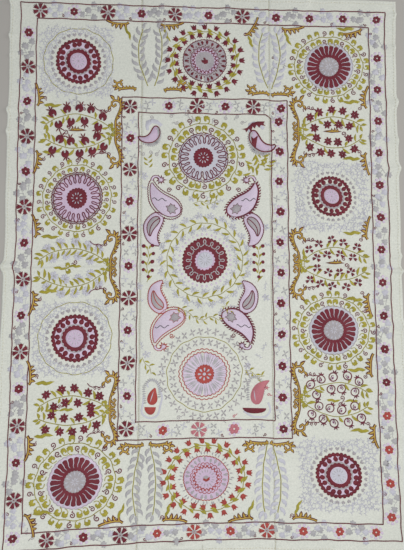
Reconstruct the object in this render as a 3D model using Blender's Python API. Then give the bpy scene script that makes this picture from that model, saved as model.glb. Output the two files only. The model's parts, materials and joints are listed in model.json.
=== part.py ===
"""Suzani: an embroidered cover of three loom-width strips of cotton, lying on a level floor.

Metres, +Z up. The origin lies under the middle of the cover, +X runs across it and +Y runs
along it to its far end. A maker embroiders each strip apart and then sews the strips edge to
edge, so each strip is a closed sheet of its own, with its hem as part of its cloth. The
undersides lie flat on the floor except under the puckers of the hems, the two creases of the
stored bundle and one soft fold that stands up in the near hem.
"""

import bpy
import bmesh
import math
from collections import namedtuple

# Driving sizes of the cover, in metres
CLOTH_THICKNESS = 0.0015
HALF_WIDTH = 0.742
HALF_LENGTH = 1.038
LEFT_SEAM = -0.2345
RIGHT_SEAM = 0.2525
SEAM_GAP = 0.0003

# How the hand-sewn cover departs from a rectangle when it lies
CENTRE_SHIFT_X = -0.0004
CENTRE_SHIFT_Y = -0.0111
WAISTED_SIDES = 0.0124
LONGER_LEFT_SIDE = 0.0235
BOWED_ENDS = 0.0204
FAR_STRETCH = 0.0204
DRAWN_CORNERS = 0.0281

# The edge wanders by this much between its puckers
EDGE_WANDER = 0.0025

# The bundle's two creases: a lengthwise and a crosswise one, each a low soft ridge
CREASE_X = -0.003
CREASE_Y = 0.004
CREASE_HALF_WIDTH = 0.012
CREASE_HEIGHT = 0.0012

# The soft fold that stands up in the near hem of the middle strip
FOLD_X = -0.090
FOLD_Y = -1.014
FOLD_HALF_LENGTH = 0.085
FOLD_HALF_WIDTH = 0.020
FOLD_HEIGHT = 0.012

# Spacing of the sheet's grid where it lies plain, and the least gap between two grid lines
PLAIN_STEP = 0.130
LEAST_STEP = 0.0055

# Puckers of the hem: the side, how far along it, half their width along the edge, how far
# they reach into the cloth, how high they stand and how far they push the edge out
Pucker = namedtuple("Pucker", "side along half_width reach height bulge")
PUCKERS = (
    Pucker("left", 0.995, 0.014, 0.045, 0.005, 0.001),
    Pucker("left", 0.865, 0.016, 0.050, 0.006, 0.002),
    Pucker("left", 0.792, 0.012, 0.040, 0.004, -0.001),
    Pucker("left", 0.588, 0.016, 0.050, 0.006, 0.004),
    Pucker("left", 0.508, 0.018, 0.045, 0.005, 0.003),
    Pucker("left", 0.012, 0.024, 0.085, 0.011, 0.008),
    Pucker("left", -0.370, 0.018, 0.045, 0.004, 0.001),
    Pucker("left", -0.572, 0.018, 0.050, 0.005, 0.002),
    Pucker("left", -0.830, 0.016, 0.045, 0.005, -0.002),
    Pucker("right", 0.984, 0.014, 0.045, 0.005, 0.001),
    Pucker("right", 0.853, 0.022, 0.055, 0.006, -0.001),
    Pucker("right", 0.640, 0.024, 0.060, 0.008, 0.006),
    Pucker("right", 0.492, 0.022, 0.055, 0.006, 0.002),
    Pucker("right", 0.385, 0.022, 0.055, 0.007, 0.006),
    Pucker("right", 0.052, 0.016, 0.055, 0.007, 0.003),
    Pucker("right", -0.004, 0.014, 0.060, 0.008, 0.006),
    Pucker("right", -0.208, 0.022, 0.060, 0.007, 0.004),
    Pucker("right", -0.478, 0.022, 0.050, 0.006, 0.002),
    Pucker("right", -0.622, 0.016, 0.050, 0.006, 0.002),
    Pucker("right", -0.850, 0.020, 0.050, 0.005, 0.001),
    Pucker("far", -0.355, 0.018, 0.040, 0.005, 0.001),
    Pucker("far", -0.045, 0.018, 0.040, 0.004, 0.000),
    Pucker("far", 0.085, 0.016, 0.038, 0.005, 0.001),
    Pucker("far", 0.405, 0.020, 0.042, 0.005, 0.001),
    Pucker("near", -0.520, 0.020, 0.045, 0.005, 0.001),
    Pucker("near", 0.110, 0.018, 0.040, 0.005, 0.000),
    Pucker("near", 0.470, 0.022, 0.045, 0.005, 0.002),
)

# The strips: where their two long edges run, and the colour of their cloth
Strip = namedtuple("Strip", "name left right colour")
STRIPS = (
    Strip("panel_left", -HALF_WIDTH, LEFT_SEAM - SEAM_GAP / 2, (0.640, 0.655, 0.610)),
    Strip("panel_centre", LEFT_SEAM + SEAM_GAP / 2, RIGHT_SEAM - SEAM_GAP / 2, (0.655, 0.665, 0.615)),
    Strip("panel_right", RIGHT_SEAM + SEAM_GAP / 2, HALF_WIDTH, (0.635, 0.650, 0.600)),
)
CLOTH_ROUGHNESS = 0.85


def hump(distance, half_width):
    """A rounded ridge's profile: 1 on its line and 0 from half_width away."""
    if abs(distance) >= half_width:
        return 0.0
    return 0.5 + 0.5 * math.cos(math.pi * distance / half_width)


def fade(distance, reach):
    """1 at a hem's edge, falling smoothly to 0 at reach from it."""
    if distance >= reach:
        return 0.0
    return hump(distance, reach)


def on_side(side, x, y):
    """Distance of a flat place from one edge of the cover, and how far along that edge it is."""
    if side == "left":
        return x + HALF_WIDTH, y
    if side == "right":
        return HALF_WIDTH - x, y
    if side == "far":
        return HALF_LENGTH - y, x
    return y + HALF_LENGTH, x


def lift(x, y):
    """Height of the underside over the floor at a flat place on the cover."""
    height = 0.0
    for pucker in PUCKERS:
        inward, along = on_side(pucker.side, x, y)
        height += pucker.height * hump(along - pucker.along, pucker.half_width) * fade(inward, pucker.reach)
    height += CREASE_HEIGHT * max(hump(x - CREASE_X, CREASE_HALF_WIDTH), hump(y - CREASE_Y, CREASE_HALF_WIDTH))
    fold_profile = hump(y - FOLD_Y, FOLD_HALF_WIDTH) * hump(x - FOLD_X, FOLD_HALF_LENGTH)
    return height + FOLD_HEIGHT * fold_profile


def edge_push(side, along):
    """How far the edge stands outside its straight line."""
    wander = math.sin(along * 9.0 + len(side)) + 0.6 * math.sin(along * 23.0 + 2.0 * len(side))
    push = EDGE_WANDER * wander / 1.6
    for pucker in PUCKERS:
        if pucker.side == side:
            push += pucker.bulge * hump(along - pucker.along, 1.6 * pucker.half_width)
    return push


def lying_place(x, y):
    """Where a flat place on the cover comes to lie: waisted, longer at its left, with bowed ends."""
    x_pushed = x
    y_pushed = y
    side_share = max(0.0, abs(x) - 0.9 * HALF_WIDTH) / (0.1 * HALF_WIDTH)
    end_share = max(0.0, abs(y) - 0.93 * HALF_LENGTH) / (0.07 * HALF_LENGTH)
    if side_share > 0.0:
        side = "right" if x > 0.0 else "left"
        x_pushed += math.copysign(edge_push(side, y) * side_share, x)
    if end_share > 0.0:
        end = "far" if y > 0.0 else "near"
        y_pushed += math.copysign(edge_push(end, x) * end_share, y)
    x_lying = x_pushed + WAISTED_SIDES * x * y * y + CENTRE_SHIFT_X
    y_lying = y_pushed - LONGER_LEFT_SIDE * x * y - BOWED_ENDS * x * x
    y_lying += FAR_STRETCH * y * y + DRAWN_CORNERS * x * x * y + CENTRE_SHIFT_Y
    return x_lying, y_lying


def stations(low, high, wanted):
    """Grid lines from low to high: a plain spacing, with the wanted lines put in between."""
    count = math.ceil((high - low) / PLAIN_STEP)
    lines = [low, high]
    for line in wanted:
        if all(abs(line - kept) >= LEAST_STEP for kept in lines) and low < line < high:
            lines.append(line)
    for index in range(1, count):
        line = low + (high - low) * index / count
        if all(abs(line - kept) >= PLAIN_STEP / 3 for kept in lines):
            lines.append(line)
    return sorted(lines)


def ridge_lines(centre, half_width):
    """Grid lines that a ridge needs: its crest, its flanks and its feet."""
    return [centre, centre - half_width / 2, centre + half_width / 2, centre - half_width, centre + half_width]


def strip_stations(strip):
    """The grid lines of one strip, across it and along it."""
    across = ridge_lines(CREASE_X, CREASE_HALF_WIDTH)
    along = ridge_lines(CREASE_Y, CREASE_HALF_WIDTH)
    if strip.left < FOLD_X < strip.right:
        across += [FOLD_X + FOLD_HALF_LENGTH * share for share in (-1.0, -0.7, -0.35, 0.0, 0.35, 0.7, 1.0)]
        along += ridge_lines(FOLD_Y, FOLD_HALF_WIDTH)
    for pucker in PUCKERS:
        if pucker.side in ("far", "near"):
            end = HALF_LENGTH if pucker.side == "far" else -HALF_LENGTH
            across += ridge_lines(pucker.along, pucker.half_width)
            along += [end - math.copysign(0.045 * share, end) for share in (0.35, 0.65, 1.0)]
        else:
            side = HALF_WIDTH if pucker.side == "right" else -HALF_WIDTH
            if strip.left <= side <= strip.right:
                along += ridge_lines(pucker.along, pucker.half_width)
                across += [side - math.copysign(0.060 * share, side) for share in (0.25, 0.5, 0.75, 1.0)]
    return stations(strip.left, strip.right, across), stations(-HALF_LENGTH, HALF_LENGTH, along)


def cloth_material(strip):
    """The strip's undyed cotton."""
    material = bpy.data.materials.new(strip.name + "_cotton")
    material.use_nodes = True
    shader = material.node_tree.nodes["Principled BSDF"]
    shader.inputs["Base Color"].default_value = (*strip.colour, 1.0)
    shader.inputs["Roughness"].default_value = CLOTH_ROUGHNESS
    shader.inputs["Metallic"].default_value = 0.0
    return material


def make_strip(strip):
    """One loom-width strip: its underside as a grid, then thickened upwards into a closed sheet."""
    across, along = strip_stations(strip)
    sheet = bmesh.new()
    grid = []
    for y in along:
        row = []
        for x in across:
            x_lying, y_lying = lying_place(x, y)
            row.append(sheet.verts.new((x_lying, y_lying, lift(x, y))))
        grid.append(row)
    for near_row, far_row in zip(grid, grid[1:]):
        for index in range(len(across) - 1):
            sheet.faces.new((near_row[index], near_row[index + 1], far_row[index + 1], far_row[index]))
    thickened = bmesh.ops.extrude_face_region(sheet, geom=sheet.faces[:])
    upper = [item for item in thickened["geom"] if isinstance(item, bmesh.types.BMVert)]
    bmesh.ops.translate(sheet, verts=upper, vec=(0.0, 0.0, CLOTH_THICKNESS))
    bmesh.ops.recalc_face_normals(sheet, faces=sheet.faces[:])
    mesh = bpy.data.meshes.new(strip.name)
    sheet.to_mesh(mesh)
    sheet.free()
    mesh.materials.append(cloth_material(strip))
    strip_object = bpy.data.objects.new(strip.name, mesh)
    bpy.context.scene.collection.objects.link(strip_object)


for old_object in list(bpy.data.objects):
    bpy.data.objects.remove(old_object, do_unlink=True)

for strip in STRIPS:
    make_strip(strip)
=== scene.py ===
"""An embroidered suzani cover that lies on a floor: three strips of cotton under silk stitching.

Places on the cover are written flat, in metres from its middle, as the maker draws them on the
cloth: x across the strips and y towards the far end. Each finished piece is then laid on the
cover, which draws it along with the cloth's waist, bowed ends, puckers and creases.
"""

import json
import math
import random
from collections import namedtuple

import bmesh
import bpy
import numpy as np
from mathutils import Matrix, Vector

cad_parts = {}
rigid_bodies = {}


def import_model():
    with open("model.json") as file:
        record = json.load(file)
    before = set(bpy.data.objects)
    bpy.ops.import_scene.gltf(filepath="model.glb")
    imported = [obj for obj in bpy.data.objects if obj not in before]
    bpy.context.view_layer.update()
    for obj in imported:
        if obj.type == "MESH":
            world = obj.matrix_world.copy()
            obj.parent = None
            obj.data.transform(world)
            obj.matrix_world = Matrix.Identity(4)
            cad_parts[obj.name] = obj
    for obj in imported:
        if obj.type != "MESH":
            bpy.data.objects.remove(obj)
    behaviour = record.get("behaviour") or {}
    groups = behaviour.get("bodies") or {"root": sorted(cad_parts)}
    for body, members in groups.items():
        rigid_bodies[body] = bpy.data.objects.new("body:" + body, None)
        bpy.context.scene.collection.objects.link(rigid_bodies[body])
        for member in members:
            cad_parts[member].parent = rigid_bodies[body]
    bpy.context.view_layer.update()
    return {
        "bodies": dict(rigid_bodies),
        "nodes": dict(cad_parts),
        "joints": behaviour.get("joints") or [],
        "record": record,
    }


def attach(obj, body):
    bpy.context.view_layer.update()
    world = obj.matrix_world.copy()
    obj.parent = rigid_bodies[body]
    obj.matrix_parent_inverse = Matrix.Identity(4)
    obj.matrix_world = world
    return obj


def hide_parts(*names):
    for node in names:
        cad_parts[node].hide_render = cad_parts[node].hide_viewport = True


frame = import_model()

# ---------------------------------------------------------------------------------------------
# The camera stands over the cover, a little towards its near end, as someone would who holds
# it out at arm's length and looks down. It looks almost straight down, at four degrees.
CAMERA_LENS_MM = 26.0
CAMERA_HEIGHT = 1.475
CAMERA_LOOKS_AT = Vector((-0.0053, -0.0412, 0.0))
CAMERA_LEAN = math.radians(4.0)
CAMERA_LEAN_SIDEWAYS = math.radians(0.5)


def place_camera():
    """Sets the camera at its height and lean, with the cover's far end at the top."""
    back = Vector((-math.tan(CAMERA_LEAN_SIDEWAYS), -math.tan(CAMERA_LEAN), 1.0))
    place = CAMERA_LOOKS_AT + back * CAMERA_HEIGHT
    away = back.normalized()
    right = Vector((0.0, 1.0, 0.0)).cross(away).normalized()
    turned = Matrix((right, away.cross(right), away)).transposed().to_4x4()
    data = bpy.data.cameras.new("camera")
    data.lens = CAMERA_LENS_MM
    camera = bpy.data.objects.new("camera", data)
    camera.matrix_world = Matrix.Translation(place) @ turned
    bpy.context.scene.collection.objects.link(camera)
    bpy.context.scene.camera = camera


place_camera()

# ---------------------------------------------------------------------------------------------
# The three strips of hand-loomed cotton. Each is a thin sheet with a turned hem at its outer
# edges, and lies flat but for the hem's puckers, the creases of the stored bundle and one soft
# fold that stands up in the near hem.
HALF_WIDTH = 0.742
HALF_LENGTH = 1.038
LEFT_SEAM = -0.2345
RIGHT_SEAM = 0.2525
SEAM_GAP = 0.0003
CENTRE_SHIFT = (-0.0004, -0.0111)
WAISTED_SIDES = 0.0124
LONGER_LEFT_SIDE = 0.0235
BOWED_ENDS = 0.0204
FAR_STRETCH = 0.0204
DRAWN_CORNERS = 0.0281
EDGE_WANDER = 0.0025
CREASE_X = -0.003
CREASE_Y = 0.004
CREASE_HALF_WIDTH = 0.012
CREASE_HEIGHT = 0.0012
FOLD_X = -0.090
FOLD_Y = -1.014
FOLD_HALF_LENGTH = 0.085
FOLD_HALF_WIDTH = 0.020
FOLD_HEIGHT = 0.012
CLOTH_THICKNESS = 0.0011
HEM_WIDTH = 0.011
HEM_TURN = 0.0005
SEAM_DIP = 0.0004
SEAM_DIP_WIDTH = 0.004
COCKLE_HEIGHT = 0.0010
COCKLE_REACH = 0.048

Pucker = namedtuple("Pucker", "side along half_width reach height bulge")
PUCKERS = (
    Pucker("left", 0.995, 0.014, 0.045, 0.005, 0.001),
    Pucker("left", 0.865, 0.016, 0.050, 0.006, 0.002),
    Pucker("left", 0.792, 0.012, 0.040, 0.004, -0.001),
    Pucker("left", 0.588, 0.016, 0.050, 0.006, 0.004),
    Pucker("left", 0.508, 0.018, 0.045, 0.005, 0.003),
    Pucker("left", 0.012, 0.024, 0.085, 0.011, 0.008),
    Pucker("left", -0.370, 0.018, 0.045, 0.004, 0.001),
    Pucker("left", -0.572, 0.018, 0.050, 0.005, 0.002),
    Pucker("left", -0.830, 0.016, 0.045, 0.005, -0.002),
    Pucker("right", 0.984, 0.014, 0.045, 0.005, 0.001),
    Pucker("right", 0.853, 0.022, 0.055, 0.006, -0.001),
    Pucker("right", 0.640, 0.024, 0.060, 0.008, 0.006),
    Pucker("right", 0.492, 0.022, 0.055, 0.006, 0.002),
    Pucker("right", 0.385, 0.022, 0.055, 0.007, 0.006),
    Pucker("right", 0.052, 0.016, 0.055, 0.007, 0.003),
    Pucker("right", -0.004, 0.014, 0.060, 0.008, 0.006),
    Pucker("right", -0.208, 0.022, 0.060, 0.007, 0.004),
    Pucker("right", -0.478, 0.022, 0.050, 0.006, 0.002),
    Pucker("right", -0.622, 0.016, 0.050, 0.006, 0.002),
    Pucker("right", -0.850, 0.020, 0.050, 0.005, 0.001),
    Pucker("far", -0.355, 0.018, 0.040, 0.005, 0.001),
    Pucker("far", -0.045, 0.018, 0.040, 0.004, 0.000),
    Pucker("far", 0.085, 0.016, 0.038, 0.005, 0.001),
    Pucker("far", 0.405, 0.020, 0.042, 0.005, 0.001),
    Pucker("near", -0.520, 0.020, 0.045, 0.005, 0.001),
    Pucker("near", 0.110, 0.018, 0.040, 0.005, 0.000),
    Pucker("near", 0.470, 0.022, 0.045, 0.005, 0.002),
)
SIDES = ("left", "right", "far", "near")


def hump(distance, half_width):
    """A rounded ridge's profile: 1 on its line and 0 from half_width away."""
    return np.where(np.abs(distance) < half_width, 0.5 + 0.5 * np.cos(np.pi * distance / half_width), 0.0)


def on_side(side, x, y):
    """Distance of a flat place from one edge of the cover, and how far along that edge it is."""
    places = {
        "left": (x + HALF_WIDTH, y),
        "right": (HALF_WIDTH - x, y),
        "far": (HALF_LENGTH - y, x),
        "near": (y + HALF_LENGTH, x),
    }
    return places[side]


def fade(distance, reach):
    """1 at a hem's edge, falling smoothly to 0 at reach from it."""
    return hump(np.maximum(distance, 0.0), reach)


def lift(x, y):
    """Height of the cloth's underside over the floor: puckers, creases and the near fold."""
    height = CREASE_HEIGHT * np.maximum(hump(x - CREASE_X, CREASE_HALF_WIDTH),
                                        hump(y - CREASE_Y, CREASE_HALF_WIDTH))
    height += FOLD_HEIGHT * hump(y - FOLD_Y, FOLD_HALF_WIDTH) * hump(x - FOLD_X, FOLD_HALF_LENGTH)
    for pucker in PUCKERS:
        inward, along = on_side(pucker.side, x, y)
        height += pucker.height * hump(along - pucker.along, pucker.half_width) * fade(inward, pucker.reach)
    for side in SIDES:
        inward, along = on_side(side, x, y)
        ripple = np.sin(along * 61.0 + len(side)) * np.sin(along * 23.0 + 1.7 * len(side))
        height += COCKLE_HEIGHT * np.maximum(ripple, 0.0) * fade(inward, COCKLE_REACH)
    return height


def top_height(x, y):
    """Height of the cloth's upper face, with the turned hem and the dip along each seam."""
    height = lift(x, y) + CLOTH_THICKNESS
    nearest_edge = np.minimum(HALF_WIDTH - np.abs(x), HALF_LENGTH - np.abs(y))
    height += HEM_TURN * np.clip((HEM_WIDTH - nearest_edge) / 0.002 + 0.5, 0.0, 1.0)
    for seam in (LEFT_SEAM, RIGHT_SEAM):
        height -= SEAM_DIP * hump(x - seam, SEAM_DIP_WIDTH)
    return height


def edge_push(side, along):
    """How far the edge stands outside its straight line."""
    wander = np.sin(along * 9.0 + len(side)) + 0.6 * np.sin(along * 23.0 + 2.0 * len(side))
    push = EDGE_WANDER * wander / 1.6
    for pucker in PUCKERS:
        if pucker.side == side:
            push += pucker.bulge * hump(along - pucker.along, 1.6 * pucker.half_width)
    return push


def lying_place(x, y):
    """Where a flat place on the cover comes to lie: waisted, longer at its left, with bowed ends."""
    side_share = np.maximum(0.0, np.abs(x) - 0.9 * HALF_WIDTH) / (0.1 * HALF_WIDTH)
    end_share = np.maximum(0.0, np.abs(y) - 0.93 * HALF_LENGTH) / (0.07 * HALF_LENGTH)
    side_push = np.where(x > 0.0, edge_push("right", y), -edge_push("left", y))
    end_push = np.where(y > 0.0, edge_push("far", x), -edge_push("near", x))
    x_lying = x + side_push * side_share + WAISTED_SIDES * x * y * y + CENTRE_SHIFT[0]
    y_lying = y + end_push * end_share - LONGER_LEFT_SIDE * x * y - BOWED_ENDS * x * x
    y_lying += FAR_STRETCH * y * y + DRAWN_CORNERS * x * x * y + CENTRE_SHIFT[1]
    return x_lying, y_lying


def grid_lines(low, high, plain_step, fine_step, fine_reach, crease):
    """Lines across a strip, closer together along its crease and near an outer edge of the cover."""
    steps = []
    place = low
    while place < high - fine_step / 2:
        steps.append(place)
        from_edge = min(abs(place - low) if low < -0.5 else 1.0, abs(high - place) if high > 0.5 else 1.0)
        near_crease = abs(place - crease) < CREASE_HALF_WIDTH + plain_step
        place += fine_step / 2 if near_crease else fine_step if from_edge < fine_reach else plain_step
    return np.array(steps + [high])


def strip_sheet(name, left, right):
    """One strip as a closed sheet, laid as the cover lies, with its own flat places as its UV map."""
    across = grid_lines(left, right, 0.0085, 0.0040, 0.062, CREASE_X)
    along = grid_lines(-HALF_LENGTH, HALF_LENGTH, 0.0055, 0.0040, 0.060, CREASE_Y)
    x, y = np.meshgrid(across, along)
    x_lying, y_lying = lying_place(x, y)
    upper = np.stack((x_lying, y_lying, top_height(x, y)), axis=-1).reshape(-1, 3)
    lower = np.stack((x_lying, y_lying, lift(x, y)), axis=-1).reshape(-1, 3)
    rows, columns = x.shape
    number = np.arange(rows * columns).reshape(rows, columns)
    squares = np.stack((number[:-1, :-1], number[:-1, 1:], number[1:, 1:], number[1:, :-1]),
                       axis=-1).reshape(-1, 4)
    rim = np.concatenate((number[0, :], number[1:, -1], number[-1, -2::-1], number[-2:0:-1, 0]))
    onward = np.roll(rim, -1)
    below = rows * columns
    walls = np.stack((rim + below, onward + below, onward, rim), axis=-1)
    faces = np.concatenate((squares, squares[:, ::-1] + below, walls))
    mesh = bpy.data.meshes.new(name)
    mesh.from_pydata(np.concatenate((upper, lower)).tolist(), [], faces.tolist())
    flat = np.tile(np.stack((x, y), axis=-1).reshape(-1, 2), (2, 1))
    corners = np.empty(len(mesh.loops), dtype=np.int32)
    mesh.loops.foreach_get("vertex_index", corners)
    mesh.uv_layers.new(name="cloth").data.foreach_set("uv", flat[corners].ravel())
    mesh.shade_smooth()
    return mesh


def linear(red, green, blue):
    """A colour of 0 to 255 as the shaders' linear one."""
    shares = [value / 255.0 for value in (red, green, blue)]
    return tuple(s / 12.92 if s <= 0.04045 else ((s + 0.055) / 1.055) ** 2.4 for s in shares) + (1.0,)


class Wire:
    """A shader socket that takes part in Python sums, each of which adds its Math node."""

    def __init__(self, tree, socket=None):
        self.tree = tree
        self.socket = socket

    def node(self, kind, settings=None, inputs=None, output=0):
        """Adds any node: its settings first, then the values or links of its sockets."""
        made = self.tree.nodes.new(kind)
        for name, value in (settings or {}).items():
            setattr(made, name, value)
        for name, value in (inputs or {}).items():
            if isinstance(value, Wire):
                self.tree.links.new(value.socket, made.inputs[name])
            else:
                made.inputs[name].default_value = value
        return Wire(self.tree, made.outputs[output])

    def sum(self, operation, first, second=0.0, third=0.0):
        return self.node("ShaderNodeMath", {"operation": operation}, {0: first, 1: second, 2: third})

    def __add__(self, other):
        return self.sum("ADD", self, other)

    def __radd__(self, other):
        return self.sum("ADD", other, self)

    def __sub__(self, other):
        return self.sum("SUBTRACT", self, other)

    def __rsub__(self, other):
        return self.sum("SUBTRACT", other, self)

    def __mul__(self, other):
        return self.sum("MULTIPLY", self, other)

    def __rmul__(self, other):
        return self.sum("MULTIPLY", other, self)

    def __truediv__(self, other):
        return self.sum("DIVIDE", self, other)

    def sine(self):
        return self.sum("SINE", self)

    def clamped(self, low, high):
        """0 at low and 1 at high, with a straight run between them."""
        inputs = {"Value": self, "From Min": low, "From Max": high}
        return self.node("ShaderNodeMapRange", {"clamp": True}, inputs)

    def noise(self, scale, detail=2.0, roughness=0.5):
        """Noise at this vector, from 0 to 1."""
        inputs = {"Vector": self, "Scale": scale, "Detail": detail, "Roughness": roughness}
        return self.node("ShaderNodeTexNoise", {"noise_dimensions": "3D"}, inputs)

    def mix(self, first, second):
        """From the first colour to the second, by this share."""
        return self.node("ShaderNodeMix", {"data_type": "RGBA"}, {0: self, 6: first, 7: second}, 2)

    def stretched(self, x, y, z=1.0):
        """This vector with its axes scaled."""
        return self.node("ShaderNodeVectorMath", {"operation": "MULTIPLY"}, {0: self, 1: (x, y, z)})

    def parts(self):
        """The three numbers of this vector."""
        split = self.node("ShaderNodeSeparateXYZ", {}, {0: self})
        return [Wire(self.tree, socket) for socket in split.socket.node.outputs]


def new_material(name, roughness, sheen, specular):
    """A material with its Principled shader's plain values set, ready for its tree."""
    material = bpy.data.materials.new(name)
    material.use_nodes = True
    shader = material.node_tree.nodes["Principled BSDF"]
    shader.inputs["Roughness"].default_value = roughness
    shader.inputs["Sheen Weight"].default_value = sheen
    shader.inputs["Sheen Roughness"].default_value = 0.4
    shader.inputs["Specular IOR Level"].default_value = specular
    return material, shader, Wire(material.node_tree)


def join_surface(shader, colour, height, depth, strength):
    """Links a colour and a height to the shader, the height through a Bump node."""
    colour.tree.links.new(colour.socket, shader.inputs["Base Color"])
    bump = height.node("ShaderNodeBump", {}, {"Strength": strength, "Distance": depth, "Height": height})
    bump.tree.links.new(bump.socket, shader.inputs["Normal"])


def cotton_material():
    """Undyed plain-weave cotton: uneven threads, soft mottling, and dirt along the creases."""
    material, shader, wire = new_material("ivory_cotton", 0.86, 0.12, 0.22)
    flat = wire.node("ShaderNodeUVMap", {"uv_map": "cloth"})
    across, along, _ = flat.parts()
    warp = (across * 4200.0 + flat.noise(60.0) * 3.0).sine()
    weft = (along * 4200.0 + flat.noise(70.0) * 3.0).sine()
    slubs = flat.stretched(30.0, 260.0).noise(1.0, 3.0)
    cockle = flat.noise(46.0, 3.0, 0.55)
    puckered = flat.noise(120.0, 2.0, 0.5)
    height = 0.08 * warp * weft + 0.30 * slubs + 2.4 * cockle + 0.9 * puckered
    cloudy = flat.noise(7.0, 4.0, 0.6).clamped(0.32, 0.70)
    mottled = flat.noise(130.0, 3.0, 0.65).clamped(0.30, 0.72)
    ground = cloudy.mix(linear(216, 218, 206), linear(228, 229, 218))
    ground = (mottled * 0.8).mix(ground, linear(192, 194, 186))
    ground = (flat.noise(330.0, 2.0).clamped(0.35, 0.65) * 0.35).mix(ground, linear(238, 239, 230))
    on_crease = 1.0 - wire.sum("ABSOLUTE", across - CREASE_X).clamped(0.0008, 0.0042)
    worn = on_crease * flat.noise(34.0, 3.0).clamped(0.44, 0.66) * (0.10 - along).clamped(0.0, 0.15)
    cross_crease = 1.0 - wire.sum("ABSOLUTE", along - CREASE_Y).clamped(0.0008, 0.0060)
    worn = (0.55 * worn + 0.16 * cross_crease).clamped(0.0, 1.0)
    ground = worn.mix(ground, linear(158, 156, 140))
    join_surface(shader, ground, height, 0.0009, 0.55)
    return material


COTTON = cotton_material()


def finish_piece(name, mesh, slot_name, *replaced):
    """Puts a finished mesh in the scene and fixes it to the cover's body."""
    piece = bpy.data.objects.new(name, mesh)
    bpy.context.scene.collection.objects.link(piece)
    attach(piece, "root")
    if replaced:
        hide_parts(*replaced)
    return piece


STRIPS = {
    "panel_left": (-HALF_WIDTH, LEFT_SEAM - SEAM_GAP / 2),
    "panel_centre": (LEFT_SEAM + SEAM_GAP / 2, RIGHT_SEAM - SEAM_GAP / 2),
    "panel_right": (RIGHT_SEAM + SEAM_GAP / 2, HALF_WIDTH),
}
for node_name, (left, right) in STRIPS.items():
    sheet_mesh = strip_sheet(node_name + "_cloth", left, right)
    sheet_mesh.materials.append(COTTON)
    finish_piece(node_name + "_cloth", sheet_mesh, "cotton", node_name)

# ---------------------------------------------------------------------------------------------
# The four frame lines are worked in chain stitch with rosy-brown silk: two round the border and
# two round the middle field. Each strip was stitched before it was sewn on, so the lines step a
# little at the right seam. One chain link is two slanting grains of floss.
CHAIN_LENGTH = 0.0046
RIGHT_STRIP_STEP = -0.0022
HAND_WANDER = 0.0011
OUTER_FRAME = (-0.700, -0.995, 0.700, 0.995)
BORDER_FRAME = (-0.638, -0.935, 0.638, 0.935)
FIELD_FRAME = (-0.309, -0.630, 0.320, 0.640)
INNER_FRAME = (-0.2455, -0.565, 0.259, 0.582)
INNER_CORNER_CUT = 0.022
UNDER_THE_SURFACE = -0.0002


def silk_material(name, light, deep_dye_and_groove_shade, roughness=0.50, row=0.0021):
    """Silk floss in rows of small loops: deeper between the rows, with painted shade that darkens the colour
    in the grooves between rows and loops, and uneven dye from end to end.
    """
    material, shader, wire = new_material(name, roughness, 0.20, 0.36)
    along, across, _ = wire.node("ShaderNodeUVMap", {"uv_map": "stitch"}).parts()
    rows = wire.sum("ABSOLUTE", (across * (math.pi / row)).sine())
    shifted = wire.sum("FLOOR", across / row) * 1.9
    loops = wire.sum("ABSOLUTE", (along * (math.pi / (1.7 * row)) + shifted).sine())
    height = 0.65 * rows + 0.35 * loops
    place = wire.node("ShaderNodeTexCoord", {}, {}, 3)
    dyed = place.noise(16.0, 3.0, 0.6).clamped(0.28, 0.72)
    fibres = place.noise(420.0, 2.0).clamped(0.25, 0.75)
    # painted shade: the colour follows the stitch height, darker in the grooves between rows and loops, mixed
    # with uneven dye and fibre tone
    groove_shade_and_dye = (0.42 * height + 0.36 * dyed + 0.22 * fibres).clamped(0.10, 0.90)
    join_surface(shader, groove_shade_and_dye.mix(deep_dye_and_groove_shade, light), height + 0.25 * fibres, 0.0006, 0.7)
    return material


def tree_from(name, inputs):
    """A geometry tree with named inputs, the first of them the mesh that the piece starts from."""
    tree = bpy.data.node_groups.new(name, "GeometryNodeTree")
    tree.interface.new_socket("Geometry", in_out="OUTPUT", socket_type="NodeSocketGeometry")
    tree.interface.new_socket("Geometry", in_out="INPUT", socket_type="NodeSocketGeometry")
    for input_name, kind in inputs.items():
        tree.interface.new_socket(input_name, in_out="INPUT", socket_type="NodeSocket" + kind)
    given = tree.nodes.new("NodeGroupInput")
    return tree, {socket.name: Wire(tree, socket) for socket in given.outputs if socket.name}


def end_tree(made, silk):
    """Every tree ends in real geometry with its silk on it."""
    real = made.node("GeometryNodeRealizeInstances", {}, {0: made})
    covered = real.node("GeometryNodeSetMaterial", {}, {0: real, 2: silk})
    made.tree.links.new(covered.socket, made.tree.nodes.new("NodeGroupOutput").inputs[0])


def grown(name, start, tree, values):
    """Runs a geometry tree on a start mesh and gives the result as a plain mesh."""
    scratch = bpy.data.objects.new(name, start)
    bpy.context.scene.collection.objects.link(scratch)
    modifier = scratch.modifiers.new("grow", "NODES")
    modifier.node_group = tree
    for item in tree.interface.items_tree:
        if item.item_type == "SOCKET" and item.in_out == "INPUT" and item.name in values:
            modifier[item.identifier] = values[item.name]
    bpy.context.view_layer.update()
    depsgraph = bpy.context.evaluated_depsgraph_get()
    mesh = bpy.data.meshes.new_from_object(scratch.evaluated_get(depsgraph), depsgraph=depsgraph)
    scratch.modifiers.remove(modifier)
    bpy.data.objects.remove(scratch)
    mesh.name = name
    return mesh


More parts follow.
